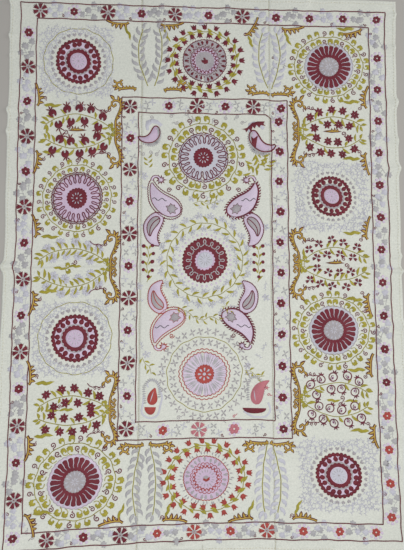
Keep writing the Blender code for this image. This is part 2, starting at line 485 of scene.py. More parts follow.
def lay(mesh):
    """Lays a flat mesh on the cover: its z, until now the height over the cloth, stays so."""
    flat = np.empty(len(mesh.vertices) * 3)
    mesh.vertices.foreach_get("co", flat)
    x, y, height = flat.reshape(-1, 3).T
    y = y + np.where(x > RIGHT_SEAM, RIGHT_STRIP_STEP, 0.0)
    x_drawn = x + HAND_WANDER * (np.sin(31.0 * y + 3.0 * x) + 0.7 * np.sin(83.0 * y + 11.0 * x))
    y_drawn = y + HAND_WANDER * (np.sin(29.0 * x + 5.0 * y) + 0.7 * np.sin(77.0 * x + 13.0 * y))
    x_lying, y_lying = lying_place(x_drawn, y_drawn)
    placed = np.stack((x_lying, y_lying, top_height(x_drawn, y_drawn) + height), axis=-1)
    mesh.vertices.foreach_set("co", placed.ravel())
    mesh.update()


class Shape:
    """Closed cushions of floss that make one mesh, drawn flat in millimetres, +x the way it points."""

    def __init__(self):
        self.points = []
        self.faces = []
        self.grain = []

    def add(self, points, faces, grain):
        """Adds points, in metres, with each face's corners and their places along and across rows."""
        first = len(self.points)
        self.points += points
        self.faces += [[first + corner for corner in face] for face in faces]
        self.grain += grain

    def patch(self, outline, rise=0.9, inset=0.7, base=0.0):
        """A filled patch with a rounded edge inside an outline."""
        count = len(outline)
        rim = [Vector(place) for place in outline]
        if sum(rim[n - 1].cross(rim[n]) for n in range(count)) < 0.0:
            rim.reverse()
        inner = []
        for number, place in enumerate(rim):
            before = (place - rim[number - 1]).normalized()
            after = (rim[(number + 1) % count] - place).normalized()
            inward = Vector((-(before + after).y, (before + after).x))
            inner.append(place + inward.normalized() * inset if inward.length > 0.2 else place
                         + (after - before) * 0.3)
        points = [(p.x / 1000, p.y / 1000, UNDER_THE_SURFACE + base / 1000) for p in rim]
        points += [(p.x / 1000, p.y / 1000, (base + rise) / 1000) for p in inner]
        faces = [(i, (i + 1) % count, count + (i + 1) % count, count + i) for i in range(count)]
        faces.append(tuple(range(count, 2 * count)))
        faces.append(tuple(range(count - 1, -1, -1)))
        self.add(points, faces, [[points[corner][:2] for corner in face] for face in faces])
        return self

    def stroke(self, path, width, rise=0.9, closed=False, base=0.0, end_width=None):
        """A line of stitches along a path; the width may change to end_width."""
        count = len(path)
        places = [Vector(place) for place in path]
        end_width = width if end_width is None else end_width
        points = []
        runs = [0.0]
        for number, place in enumerate(places):
            before = places[number - 1] if number or closed else place
            after = places[(number + 1) % count] if number < count - 1 or closed else place
            ahead = (after - before).normalized()
            half = (width + (end_width - width) * number / max(1, count - 1)) / 2
            for share, height in ((1.12, 0.0), (0.62, rise), (-0.62, rise), (-1.12, 0.0)):
                side = Vector((-ahead.y, ahead.x)) * half * share
                z = (base + height) / 1000 if height else base / 1000 + UNDER_THE_SURFACE
                points.append(((place.x + side.x) / 1000, (place.y + side.y) / 1000, z))
            runs.append(runs[-1] + (after - place).length / 1000)
        faces = []
        grain = []
        across = (-0.0009, -0.0005, 0.0005, 0.0009)
        for number in range(count if closed else count - 1):
            here = 4 * number
            there = 4 * ((number + 1) % count)
            for first, second in ((0, 1), (1, 2), (2, 3), (3, 0)):
                faces.append((here + first, here + second, there + second, there + first))
                ends = (runs[number], runs[number + 1])
                sides = (across[first], across[second])
                grain.append([(ends[0], sides[0]), (ends[0], sides[1]), (ends[1], sides[1]),
                              (ends[1], sides[0])])
        if not closed:
            last = 4 * count - 4
            faces += [(0, 3, 2, 1), (last, last + 1, last + 2, last + 3)]
            grain += [[(0.0, 0.0)] * 4] * 2
        self.add(points, faces, grain)
        return self

    def disc(self, radius, rise, lobes=0, lobe_depth=0.0, hole=0.0, base=0.0, ring_step=6.5):
        """A round field of stitches in rings, with a scalloped edge when asked, or an open middle."""
        segments = max(32, 4 * lobes)
        rings = max(1, round((radius - hole) / ring_step))
        spokes = []
        for number in range(segments):
            angle = math.tau * number / segments
            spokes.append((math.cos(angle), math.sin(angle),
                           lobe_depth * (abs(math.sin(lobes * angle / 2)) - 1.0)))
        points = []
        for level, low in ((rise, False), (0.0, True)):
            for ring in range(rings + 1):
                reach = radius - (radius - hole) * ring / rings
                if hole == 0.0 and ring == rings:
                    continue
                edge = ring == 0 or (hole > 0.0 and ring == rings)
                z = UNDER_THE_SURFACE if low else level / 1000 * (0.55 if edge else 1.0)
                for cos, sin, dent in spokes:
                    out = reach + (dent if ring < 2 else 0.0) - (0.0 if low or not edge else 0.3
                                                                 if ring == 0 else -0.3)
                    points.append((out * cos / 1000, out * sin / 1000, z + base / 1000))
        rows = rings + 1 if hole > 0.0 else rings
        below = rows * segments
        faces = []
        for ring in range(rows - 1):
            for i in range(segments):
                k = (i + 1) % segments
                one, two = ring * segments, (ring + 1) * segments
                faces.append((one + i, one + k, two + k, two + i))
                faces.append((below + one + k, below + one + i, below + two + i, below + two + k))
        for i in range(segments):
            k = (i + 1) % segments
            faces.append((below + i, below + k, k, i))
            if hole > 0.0:
                last = (rows - 1) * segments
                faces.append((last + i, last + k, below + last + k, below + last + i))
        if hole == 0.0:
            last = (rows - 1) * segments
            points += [(0.0, 0.0, (base + rise) / 1000), (0.0, 0.0, UNDER_THE_SURFACE + base / 1000)]
            for i in range(segments):
                k = (i + 1) % segments
                faces.append((last + i, last + k, len(points) - 2))
                faces.append((below + last + k, below + last + i, len(points) - 1))
        grain = []
        for face in faces:
            middle = sum((Vector(points[corner][:2]) for corner in face), Vector((0.0, 0.0)))
            heading = math.atan2(middle.y, middle.x)
            corners = []
            for corner in face:
                x, y = points[corner][:2]
                reach = math.hypot(x, y)
                off = math.remainder(math.atan2(y, x) - heading, math.tau) if reach > 0.0 else 0.0
                corners.append(((heading + off) * max(reach, 0.02), reach))
            grain.append(corners)
        self.add(points, faces, grain)
        return self

    def mesh(self, name, mirrored=False):
        """The shape as a mesh; mirrored, its y is turned over."""
        side = -1.0 if mirrored else 1.0
        mesh = bpy.data.meshes.new(name)
        faces = [face[::-1] for face in self.faces] if mirrored else self.faces
        grain = [corners[::-1] for corners in self.grain] if mirrored else self.grain
        mesh.from_pydata([(x, side * y, z) for x, y, z in self.points], [], faces)
        flat = [number for corners in grain for place in corners for number in place]
        mesh.uv_layers.new(name="stitch").data.foreach_set("uv", flat)
        mesh.shade_smooth()
        return mesh


Place = namedtuple("Place", "x y turn size hand", defaults=(0.0, 1.0, 1))


def scatter_tree():
    """Sets the shapes of a collection on the points, each point naming its shape, turn and size."""
    tree, given = tree_from("sewn_shapes", {"Shapes": "Collection", "Silk": "Material"})
    wire = given["Geometry"]

    def named(name, kind="FLOAT"):
        return wire.node("GeometryNodeInputNamedAttribute", {"data_type": kind}, {"Name": name})

    shapes = wire.node("GeometryNodeCollectionInfo", {}, {0: given["Shapes"], 1: True, 2: True})
    turn = wire.node("ShaderNodeCombineXYZ", {}, {2: named("turn")})
    inputs = {"Points": wire, "Instance": shapes, "Pick Instance": True,
              "Instance Index": named("kind", "INT")}
    inputs.update({"Rotation": turn, "Scale": named("size")})
    end_tree(wire.node("GeometryNodeInstanceOnPoints", {}, inputs), given["Silk"])
    return tree


def cord_tree():
    """A round cord of silk along every line of the start mesh, pressed a little flat."""
    tree, given = tree_from("couched_cord", {"Step": "Float", "Silk": "Material"})
    wire = given["Geometry"]

    def named(name):
        return wire.node("GeometryNodeInputNamedAttribute", {"data_type": "FLOAT"}, {"Name": name})

    curve = wire.node("GeometryNodeMeshToCurve", {}, {0: wire})
    curve = wire.node("GeometryNodeResampleCurve", {"mode": "LENGTH"},
                      {"Curve": curve, "Length": given["Step"]})
    run = wire.node("GeometryNodeSplineParameter", {}, {}, "Length")
    stored = {"data_type": "FLOAT", "domain": "POINT"}
    curve = wire.node("GeometryNodeStoreNamedAttribute", stored,
                      {"Geometry": curve, "Name": "along", "Value": run})
    curve = wire.node("GeometryNodeSetCurveRadius", {}, {"Curve": curve, "Radius": named("width")})
    ring = wire.node("GeometryNodeCurvePrimitiveCircle", {}, {"Resolution": 5, "Radius": 0.5})
    cord = wire.node("GeometryNodeCurveToMesh", {},
                     {"Curve": curve, "Profile Curve": ring, "Fill Caps": True})
    if "Scale" in cord.socket.node.inputs:
        tree.links.new(named("width").socket, cord.socket.node.inputs["Scale"])
    pair = wire.node("ShaderNodeCombineXYZ", {}, {0: named("along")})
    stored = {"data_type": "FLOAT2", "domain": "CORNER"}
    cord = wire.node("GeometryNodeStoreNamedAttribute", stored,
                     {"Geometry": cord, "Name": "stitch", "Value": pair})
    place = wire.node("GeometryNodeInputPosition").stretched(1.0, 1.0, 0.5)
    cord = wire.node("GeometryNodeSetPosition", {}, {"Geometry": cord, "Position": place})
    end_tree(cord, given["Silk"])
    return tree


def chain_tree():
    """Chain links in a row along every line of the start mesh."""
    tree, given = tree_from("chain_stitch", {"Link": "Object", "Link length": "Float", "Silk": "Material"})
    wire = given["Geometry"]
    lines = wire.node("GeometryNodeMeshToCurve", {}, {0: wire})
    inputs = {"Curve": lines, "Length": given["Link length"]}
    spaced = wire.node("GeometryNodeResampleCurve", {"mode": "LENGTH"}, inputs)
    ahead_x, ahead_y, _ = wire.node("GeometryNodeInputTangent").parts()
    turn = wire.node("ShaderNodeCombineXYZ", {}, {2: wire.sum("ARCTAN2", ahead_y, ahead_x)})
    link = wire.node("GeometryNodeObjectInfo", {}, {0: given["Link"]}, "Geometry")
    inputs = {"Points": spaced, "Instance": link, "Rotation": turn}
    end_tree(wire.node("GeometryNodeInstanceOnPoints", {}, inputs), given["Silk"])
    return tree


def line_mesh(lines, closed=False):
    """Lines of flat places as a mesh of edges; a line may be a (places, width) pair, in metres."""
    points = []
    edges = []
    widths = []
    for line in lines:
        places, width = line if isinstance(line, tuple) else (line, 0.0)
        first = len(points)
        points += [(place[0], place[1], 0.0006) for place in places]
        widths += [width] * len(places)
        edges += [(first + i, first + i + 1) for i in range(len(places) - 1)]
        if closed:
            edges.append((first + len(places) - 1, first))
    mesh = bpy.data.meshes.new("lines")
    mesh.from_pydata(points, edges, [])
    mesh.attributes.new("width", "FLOAT", "POINT").data.foreach_set("value", widths)
    return mesh


SCATTER_TREE = scatter_tree()
CORD_TREE = cord_tree()
CHAIN_TREE = chain_tree()
CORD_STEP = 0.004
embroidery = []


def sewn_mesh(name, silk, layers):
    """The shapes of some (shape, places) layers, each at its places."""
    shelf = bpy.data.collections.new(name)
    points = []
    values = {"turn": [], "size": [], "kind": []}
    for number, (shape, places) in enumerate(layers):
        for mirrored in (False, True):
            key = "%03d" % (2 * number + mirrored)
            shelf.objects.link(bpy.data.objects.new(key, shape.mesh(key, mirrored)))
        for index, place in enumerate(places):
            points.append((place.x, place.y, 0.00005 * (index % 7)))
            values["turn"].append(place.turn)
            values["size"].append(place.size)
            values["kind"].append(2 * number + (place.hand < 0))
    start = bpy.data.meshes.new(name + "_places")
    start.from_pydata(points, [], [])
    for key, kind in (("turn", "FLOAT"), ("size", "FLOAT"), ("kind", "INT")):
        start.attributes.new(key, kind, "POINT").data.foreach_set("value", values[key])
    mesh = grown(name, start, SCATTER_TREE, {"Shapes": shelf, "Silk": silk})
    for used in list(shelf.objects):
        bpy.data.objects.remove(used)
    bpy.data.collections.remove(shelf)
    return mesh


def sew(name, slot_name, silk, layers=(), cords=(), chains=(), link=None):
    """Sews shapes, cords and chain-stitch lines of one silk on the cover as one piece."""
    parts = []
    if layers:
        parts.append(sewn_mesh(name, silk, layers))
    if cords:
        parts.append(grown(name, line_mesh(cords), CORD_TREE, {"Step": CORD_STEP, "Silk": silk}))
    if chains:
        links = bpy.data.objects.new("link", link.mesh("link"))
        values = {"Link": links, "Link length": CHAIN_LENGTH, "Silk": silk}
        parts.append(grown(name, line_mesh(chains), CHAIN_TREE, values))
        bpy.data.objects.remove(links)
    joined = bmesh.new()
    for part in parts:
        joined.from_mesh(part)
        bpy.data.meshes.remove(part)
    mesh = bpy.data.meshes.new(name)
    joined.to_mesh(mesh)
    joined.free()
    mesh.materials.append(silk)
    mesh.polygons.foreach_set("material_index", [0] * len(mesh.polygons))
    lay(mesh)
    embroidery.append(finish_piece(name, mesh, slot_name))


def rectangle(frame, corner_cut=0.0):
    """A frame line's corners, anticlockwise and closed, with its far right corner cut when asked."""
    left, near, right, far = frame
    cut = [(right, far - 0.6 * corner_cut), (right - corner_cut, far)] if corner_cut else [(right, far)]
    return [(left, near), (right, near)] + cut + [(left, far), (left, near)]


def stitch_link(length, width, rise):
    """One chain stitch: two slanting grains of floss that open towards the next one."""
    link = Shape()
    for side in (1.0, -1.0):
        path = [(-0.55 * length, 0.08 * width * side), (0.58 * length, 0.34 * width * side)]
        link.stroke(path, 0.46 * width, rise)
    return link


BROWN_SILK = silk_material("rosy_brown_silk", linear(132, 60, 68), linear(88, 32, 42))
frame_lines = [rectangle(OUTER_FRAME), rectangle(BORDER_FRAME), rectangle(FIELD_FRAME)]
frame_lines.append(rectangle(INNER_FRAME, INNER_CORNER_CUT))
sew("frame_lines", "outline_silk", BROWN_SILK, chains=frame_lines, link=stitch_link(4.6, 4.0, 0.9))

# ---------------------------------------------------------------------------------------------
# The seams join the strips edge to edge with small stitches of pale cotton thread, set across
# the join, and a row of running stitch holds the turned hem down all round.
SEAM_STITCH_STEP = 0.0085
HEM_STITCH_STEP = 0.0110
PALE_THREAD = silk_material("pale_thread", linear(228, 224, 200), linear(186, 180, 152), 0.7)
seam_stitch = Shape().stroke([(0.0, -3.2), (0.4, 0.0), (0.0, 3.2)], 1.5, 1.1)
hem_stitch = Shape().stroke([(-2.6, 0.0), (0.0, 0.0), (2.6, 0.0)], 1.3, 0.8)
seam_places = []
for seam in (LEFT_SEAM, RIGHT_SEAM):
    for number in range(int(2 * HALF_LENGTH / SEAM_STITCH_STEP) - 1):
        seam_places.append(Place(seam, (number + 0.7) * SEAM_STITCH_STEP - HALF_LENGTH, math.pi / 2 + 1.3))
hem_places = []
for side in (-1, 1):
    for number in range(int((2 * HALF_WIDTH - 0.02) / HEM_STITCH_STEP)):
        x = (number + 0.5) * HEM_STITCH_STEP - HALF_WIDTH + 0.01
        hem_places.append(Place(x, side * (HALF_LENGTH - HEM_WIDTH + 0.001)))
    for number in range(int((2 * HALF_LENGTH - 0.02) / HEM_STITCH_STEP)):
        y = (number + 0.5) * HEM_STITCH_STEP - HALF_LENGTH + 0.01
        hem_places.append(Place(side * (HALF_WIDTH - HEM_WIDTH + 0.001), y, math.pi / 2))
sew("seam_and_hem_stitches", "cotton", PALE_THREAD, [(seam_stitch, seam_places), (hem_stitch, hem_places)])

# ---------------------------------------------------------------------------------------------
# Fourteen silk rosettes of six kinds, worked in rings. The "beaded" ones lead: a ring of crimson
# beads with bulbs that reach inwards, a grey ring, a scalloped crimson ring and a lilac middle.
BEADED = (
    Place(-0.477, 0.774, 0.0, 1.0),
    Place(-0.471, -0.255, 0.1, 1.0),
    Place(0.485, 0.275, 0.2, 0.89),
    Place(0.485, -0.762, 0.3, 0.96),
)
hand_work = random.Random(11)


def uneven(amount):
    """A small difference from one stitch to the next."""
    return hand_work.uniform(-amount, amount)


def around(centres, radius, count, start=0.0, tilt=0.0, size=1.0, hand=1, spread=1.0):
    """Places in a ring about each centre, in millimetres from it, that point away from it."""
    places = []
    for centre in centres:
        for number in range(count):
            angle = centre.turn + start + math.tau * (number + spread * uneven(0.07)) / count
            reach = radius * centre.size * (1.0 + spread * uneven(0.008)) / 1000
            x = centre.x + reach * math.cos(angle)
            y = centre.y + reach * math.sin(angle)
            places.append(Place(x, y, angle + tilt + spread * uneven(0.05),
                                centre.size * size * (1 + uneven(0.04)), hand))
    return places


def oval(length, width, count=10, x=0.0):
    """The outline of an oval about a middle that lies x along."""
    turns = [math.tau * number / count for number in range(count)]
    return [(x + length / 2 * math.cos(turn), width / 2 * math.sin(turn)) for turn in turns]


def petal(length, width, x=0.0, shoulder=0.66):
    """The outline of a petal that starts in a point at x and ends rounded."""
    half = width / 2
    profile = ((0.0, 0.06), (0.30, 0.62), (shoulder, 1.0), (0.90, 0.72), (1.0, 0.0))
    near = [(x + share * length, -half * wide) for share, wide in profile]
    return near + [(px, -py) for px, py in near[-2::-1]]


def lens(length, width, x=0.0, bend=0.0):
    """The outline of a leaf that is pointed at both ends, with a bend to one side."""
    profile = ((0.0, 0.0), (0.22, 0.66), (0.5, 1.0), (0.80, 0.60), (1.0, 0.0))
    near = [(x + share * length, -width / 2 * wide + bend * 4 * share * (1 - share))
            for share, wide in profile]
    far = [(x + share * length, width / 2 * wide + bend * 4 * share * (1 - share))
           for share, wide in profile[-2:0:-1]]
    return near + far


def turned(outline, turn, x=0.0, y=0.0):
    """An outline in millimetres, turned about its origin and then moved."""
    cos, sin = math.cos(turn), math.sin(turn)
    return [(x + cos * u - sin * v, y + sin * u + cos * v) for u, v in outline]


def circle(radius, count, dent=0.0, per_dent=3):
    """A closed path round the middle, with count dents that curve inwards when asked."""
    steps = count * per_dent
    path = []
    for number in range(steps):
        angle = math.tau * number / steps
        reach = radius - dent * (1.0 - abs(math.sin(count * angle / 2)))
        path.append((reach * math.cos(angle), reach * math.sin(angle)))
    return path


CRIMSON = silk_material("crimson_silk", linear(128, 33, 50), linear(80, 16, 30))
LILAC = silk_material("lilac_silk", linear(216, 196, 216), linear(188, 165, 190))
GREY = silk_material("grey_silk", linear(188, 182, 184), linear(148, 141, 146))
PALE_LILAC = silk_material("pale_lilac_silk", linear(224, 210, 226), linear(200, 182, 204))
PALE = silk_material("pale_lavender_silk", linear(209, 208, 216), linear(186, 185, 196))
bead = Shape().patch(oval(16.6, 15.4), 1.2)
bulb = Shape().patch(oval(20.6, 19.6, 12, 64.0), 1.1).patch([(70, -3.6), (82, -4.4), (82, 4.4), (70, 3.6)],
                                                            0.9)
crimson_layers = [
    (Shape().disc(84.0, 0.9, hole=74.0), BEADED),
    (bead, around(BEADED, 80.0, 34)),
    (bulb, around(BEADED, 0.0, 17)),
    (Shape().disc(49.0, 0.9, lobes=18, lobe_depth=3.6, hole=32.0), BEADED),
]
lilac_layers = [(Shape().disc(31.5, 0.7), BEADED[:3])]
grey_layers = [
    (Shape().disc(56.0, 0.45, hole=44.0), BEADED),
    (Shape().patch(oval(8.0, 8.0), 1.0), BEADED),
    (Shape().patch(lens(13.0, 2.6), 1.0, 0.4), around(BEADED, 13.0, 12)),
    (Shape().patch([(-7, 0), (0, -7.6), (7, -6), (4.6, 0), (7, 6), (0, 7.6)], 0.8),
     around(BEADED, 101.5, 29)),
]
pale_lilac_layers = [(Shape().disc(79.0, 0.35), (BEADED[0], BEADED[1], BEADED[3]))]
pale_layers = [(Shape().disc(31.5, 0.7), BEADED[3:]),
               (Shape().patch(lens(24.0, 3.6, 5.0), 0.9), around(BEADED, 0.0, 9))]


# ---------------------------------------------------------------------------------------------
# The "looped" rosettes: a banded rim in burgundy and grey, narrow loops that hang inwards from it
# over a lilac field, and a small crimson middle with pale petals.
LOOPED = (Place(-0.475, 0.258, 0.0, 1.02), Place(0.0, 0.413, 0.1, 1.0))
BURGUNDY = silk_material("burgundy_silk", linear(126, 38, 60), linear(78, 20, 38))
loop = Shape()
loop_path = [(86.5, -12), (82, -6), (74, -2.8), (65, -4.0), (58, -3.2), (55, 0), (58, 3.2), (65, 4.0),
             (74, 2.8), (82, 6), (86.5, 12)]
loop.stroke(loop_path, 3.8, 1.0, base=0.35)
burgundy_layers = [
    (Shape().stroke(circle(94.5, 46, 3.0), 3.4, 1.2, True), LOOPED),
    (Shape().stroke(circle(86.5, 22, 0.0, 3), 2.6, 0.8, True, 0.5), LOOPED),
    (loop, around(LOOPED, 0.0, 22, spread=0.3)),
]
crimson_layers.append((Shape().disc(39.0, 1.0, lobes=20, lobe_depth=3.4), LOOPED))
grey_layers += [
    (Shape().disc(93.0, 0.6, hole=84.0), LOOPED[:1]),
]
lilac_layers.append((Shape().disc(83.0, 0.4), LOOPED[:1]))
pale_layers += [
    (Shape().disc(93.0, 0.4), LOOPED[1:]),
    (Shape().patch(petal(13.0, 4.6, 9.0), 1.3), around(LOOPED, 0.0, 10)),
    (Shape().patch(oval(7.0, 7.0), 1.3), LOOPED),
]

# ---------------------------------------------------------------------------------------------
# The "fluted" rosettes: crimson flutes with rounded ends and pale slits that swirl a little,
# inside a pale lavender rim, about a grey-lavender middle.
FLUTED = (Place(0.482, 0.777, 0.0, 0.96), Place(-0.457, -0.768, 0.1, 1.0), Place(0.481, -0.230, 0.2, 0.94))
FERN_GREY = silk_material("pale_grey_silk", linear(190, 188, 188), linear(158, 156, 160))
SLIT = ((50, -1.2), (60, 0.0), (70, -2.2), (80, -1.5), (89, -4.2), (89, 4.2), (80, 2.0), (70, 1.5),
        (60, 3.0), (50, 0.4))
crimson_layers.append((Shape().disc(88.0, 0.9, lobes=24, lobe_depth=5.5, hole=36.0), FLUTED))
soft_grey_layers = []
grey_layers.append((Shape().stroke(circle(97.5, 34, 3.0), 2.6, 0.9, True), FLUTED))
grey_layers.append((Shape().disc(41.0, 1.1, lobes=22, lobe_depth=3.4), FLUTED))
pale_layers += [
    (Shape().patch(SLIT, 1.3), around(FLUTED, 0.0, 24, spread=0.2)),
    (Shape().patch(petal(17.0, 6.8, 19.0), 1.6), around(FLUTED, 0.0, 12)),
    (Shape().patch(lens(15.0, 4.6, 2.0), 1.6), around(FLUTED, 0.0, 8)),
    (Shape().disc(96.0, 0.45, lobes=34, lobe_depth=2.4, hole=76.0), FLUTED[::2]),
]
pale_lilac_layers.append((Shape().disc(96.0, 0.45, lobes=34, lobe_depth=2.4, hole=76.0), FLUTED[1:2]))

# ---------------------------------------------------------------------------------------------
# The two "seeded" rosettes at the ends of the middle column: rings of oval seeds and of small
# crosses over a grey-mauve or lilac field, and ticks all round the rim.
SEEDED_FAR = (Place(0.006, 0.788, 0.0, 1.03),)
SEEDED_NEAR = (Place(0.009, -0.774, 0.2, 1.0),)
BRICK = silk_material("brick_silk", linear(186, 76, 66), linear(130, 44, 42))
cross = Shape().patch(lens(23.0, 4.6, -11.5), 1.0, base=0.3)
seed = Shape().patch(petal(17.5, 10.6, 59.0), 1.1)
small_seed = Shape().patch(oval(6.0, 5.0, 8, 60.0), 1.0)
tick = Shape().patch(lens(6.4, 2.4, 87.0), 0.8)
burgundy_layers.append((Shape().stroke(circle(81.5, 45, 2.4), 3.4, 1.1, True), SEEDED_FAR))
crimson_layers += [
    (seed, around(SEEDED_FAR, 0.0, 22)),
    (small_seed, around(SEEDED_FAR, 0.0, 22, start=0.14)),
    (cross, around(SEEDED_FAR, 43.0, 20, tilt=0.8)),
    (cross, around(SEEDED_FAR, 43.0, 20, tilt=-0.8, start=0.05)),
    (Shape().stroke(circle(55.0, 20, 4.0), 2.4, 0.8, True, 0.5), SEEDED_FAR),
    (Shape().patch([(-12, -6), (0, -13), (12, -8), (13, 4), (5, 6), (2, 13), (-6, 12), (-4, 2), (-13, 4)],
                   1.1), SEEDED_FAR),
]
brick_layers = [
    (cross, around(SEEDED_NEAR, 43.0, 20, tilt=0.8)),
    (cross, around(SEEDED_NEAR, 43.0, 20, tilt=-0.8, start=0.05)),
    (Shape().patch([(-13, -5), (-2, -14), (12, -9), (14, 3), (8, 1), (0, -4), (-8, 2)], 1.1), SEEDED_NEAR),
    (Shape().stroke(circle(57.0, 22, 5.0), 2.6, 0.8, True, 0.5), SEEDED_NEAR),
    (Shape().stroke(circle(81.5, 45, 2.4), 3.2, 1.1, True), SEEDED_NEAR),
]
grey_layers += [
    (Shape().disc(81.0, 0.5), SEEDED_FAR),
    (tick, around(SEEDED_FAR, 0.0, 44)),
    (Shape().patch(lens(14.0, 3.4, 16.0), 0.9), around(SEEDED_FAR, 0.0, 14)),
    (Shape().patch(lens(13.0, 5.4, 84.0, 1.2), 0.8), around(SEEDED_NEAR, 0.0, 40)),
    (Shape().patch(lens(14.0, 4.2, 20.0), 0.9), around(SEEDED_NEAR, 0.0, 16)),
    (seed, around(SEEDED_NEAR, 0.0, 22)),
    (Shape().patch(oval(22.0, 20.0), 0.9), SEEDED_NEAR),
]
lilac_layers += [
    (Shape().disc(79.5, 0.5), SEEDED_NEAR),
    (Shape().disc(54.0, 0.75, lobes=15, lobe_depth=4.0, hole=33.0), SEEDED_FAR),
]

# ---------------------------------------------------------------------------------------------
# The middle rosette is a crimson disc crossed by a wavy grey line with a small loop at each
# cusp; the one nearer the hem has a doubled wavy rim round a vermilion middle.
WAVY = (Place(0.005, 0.025, 0.0, 1.0),)
RIMMED = (Place(0.004, -0.396, 0.0, 1.0),)
VERMILION = silk_material("vermilion_silk", linear(190, 78, 70), linear(140, 52, 48))
CUSP_PATH = ((53, -10.6), (53, -5.4), (58, -2.2), (65, -4.6), (71, -3.6), (73, 0), (71, 3.6), (65, 4.6),
             (58, 2.2), (53, 5.4),
             (53, 10.6))
wavy_cusp = Shape().stroke(CUSP_PATH, 3.4, 0.9, base=0.85)
soft_grey_layers.append((wavy_cusp, around(WAVY, 0.0, 16, spread=0.3)))
crimson_layers.append((Shape().disc(86.0, 0.9, lobes=38, lobe_depth=5.0), WAVY))
soft_grey_layers.append((Shape().patch(lens(20.0, 4.0, 6.0), 2.1), around(WAVY, 0.0, 11)))
lilac_layers.append((Shape().disc(42.0, 1.2, lobes=18, lobe_depth=4.5), WAVY))
pale_lilac_layers.append((Shape().patch(oval(10.0, 8.4, 8), 0.8), around(WAVY, 96.5, 34)))
pale_lilac_layers.append((Shape().disc(80.0, 0.4), RIMMED))
soft_grey_layers.append((Shape().patch(lens(42.0, 5.2, 38.0), 0.8), around(RIMMED, 0.0, 56)))
vermilion_layers = [
    (Shape().disc(36.5, 0.9, lobes=20, lobe_depth=3.2), RIMMED),
    (Shape().stroke(circle(94.0, 32, 4.6, 4), 3.2, 1.0, True), RIMMED),
    (Shape().stroke(circle(82.5, 32, 4.6, 4), 3.2, 1.0, True), RIMMED),
]
pale_layers += [
    (Shape().disc(30.5, 1.4, base=0.4), WAVY),
    (Shape().patch(petal(15.0, 8.0, 10.0), 1.3), around(RIMMED, 0.0, 8)),
    (Shape().patch(oval(13.0, 13.0), 1.3), RIMMED),
    (Shape().stroke(circle(38.5, 20, 3.0), 2.0, 0.8, True, 0.4), RIMMED),
]

# ---------------------------------------------------------------------------------------------
# Five rosettes stand in leafy rings: a thin olive vine whose curled leaves and burgundy spirals
# alternate on both sides. Two are in an olive oval instead, among very pale sprigs.
LeafRing = namedtuple("LeafRing", "centre half_width half_height stations start leaf rhythm",
                      defaults=(1.0, 3))
LEAF_RINGS = (
    LeafRing(LOOPED[0], 0.128, 0.123, 30, 0.1, 1.06, 2),
    LeafRing(LOOPED[1], 0.130, 0.130, 27, 0.3, 1.26, 3),
    LeafRing(FLUTED[0], 0.131, 0.117, 30, 0.2, 1.10, 3),
    LeafRing(FLUTED[1], 0.143, 0.136, 30, 0.0, 1.26, 3),
    LeafRing(FLUTED[2], 0.131, 0.122, 30, 0.4, 1.10, 3),
)
VINE_WIDTH = 0.0031
VINE_LEAF_OFFSET = 0.0146
OLIVE = silk_material("olive_silk", linear(184, 172, 62), linear(128, 120, 28))
CURLED_LEAF = ((-9, -2.5), (-7.5, -7), (-3.5, -8.5), (-0.5, -6.5), (-1.5, -3), (1.5, -2), (4.5, -3.5),
               (7.5, -5.5), (9.5, -2.5),
               (8.8, 1), (9.8, 4.5), (6.6, 6), (5, 9.5), (1.6, 8.4), (-1.8, 10), (-4.4, 7.6), (-8.2, 7.4),
               (-8.2, 2.6))
curled_leaf = Shape().patch(CURLED_LEAF, 1.0).stroke([(7, -4), (7.5, -9), (3, -13.5), (-4, -15.5)], 2.6,
                                                     0.8, end_width=2.0)


def curl(reach, width, turns=1.3, tail=9.0):
    """A spiral tendril that winds inwards from its tail."""
    path = [(-reach * 0.2, -reach - tail)] if tail else []
    steps = round(13 * turns)
    for number in range(steps + 1):
        angle = -1.9 + math.tau * turns * number / steps
        out = reach * (1.0 - 0.80 * number / steps)
        path.append((out * math.cos(angle), out * math.sin(angle)))
    return Shape().stroke(path, width, 1.0)


def on_ring(ring, angle, outward=0.0):
    """A place on a ring's vine, or outward from it."""
    x = ring.centre.x + (ring.half_width + outward) * math.cos(angle)
    y = ring.centre.y + (ring.half_height + outward) * math.sin(angle)
    return x, y


def ring_line(ring, outward=0.0, steps=90):
    """The closed line of a ring's vine."""
    turns = [math.tau * number / steps for number in range(steps + 1)]
    return [on_ring(ring, turn, outward + 0.0016 * math.sin(15 * turn)) for turn in turns]


def ring_stations(ring, side):
    """The stations along one side of a ring: number, place, and the heading away from the vine."""
    for number in range(ring.stations):
        angle = ring.start + math.tau * (number + (0.18 if side < 0 else 0.0) + uneven(0.08)) / ring.stations
        x, y = on_ring(ring, angle, side * (VINE_LEAF_OFFSET * ring.leaf + uneven(0.001)))
        yield number, x, y, angle + (math.pi if side < 0 else 0.0)


vine_spiral = curl(8.8, 2.9, 1.3, 5.0)
leaf_places = []
ring_curls = []
for ring in LEAF_RINGS:
    for side in (1, -1):
        for number, x, y, heading in ring_stations(ring, side):
            if number % ring.rhythm == 1:
                turn = heading - math.pi / 2 + uneven(0.3)
                ring_curls.append(Place(x, y, turn, 0.96 * ring.leaf + uneven(0.08), side))
            else:
                turn = heading - math.pi / 2 + uneven(0.25)
                leaf_places.append(Place(x, y, turn, ring.leaf + uneven(0.08), side))
olive_layers = [(curled_leaf, leaf_places)]
olive_cords = [(ring_line(ring), VINE_WIDTH) for ring in LEAF_RINGS]
burgundy_layers.append((vine_spiral, ring_curls))


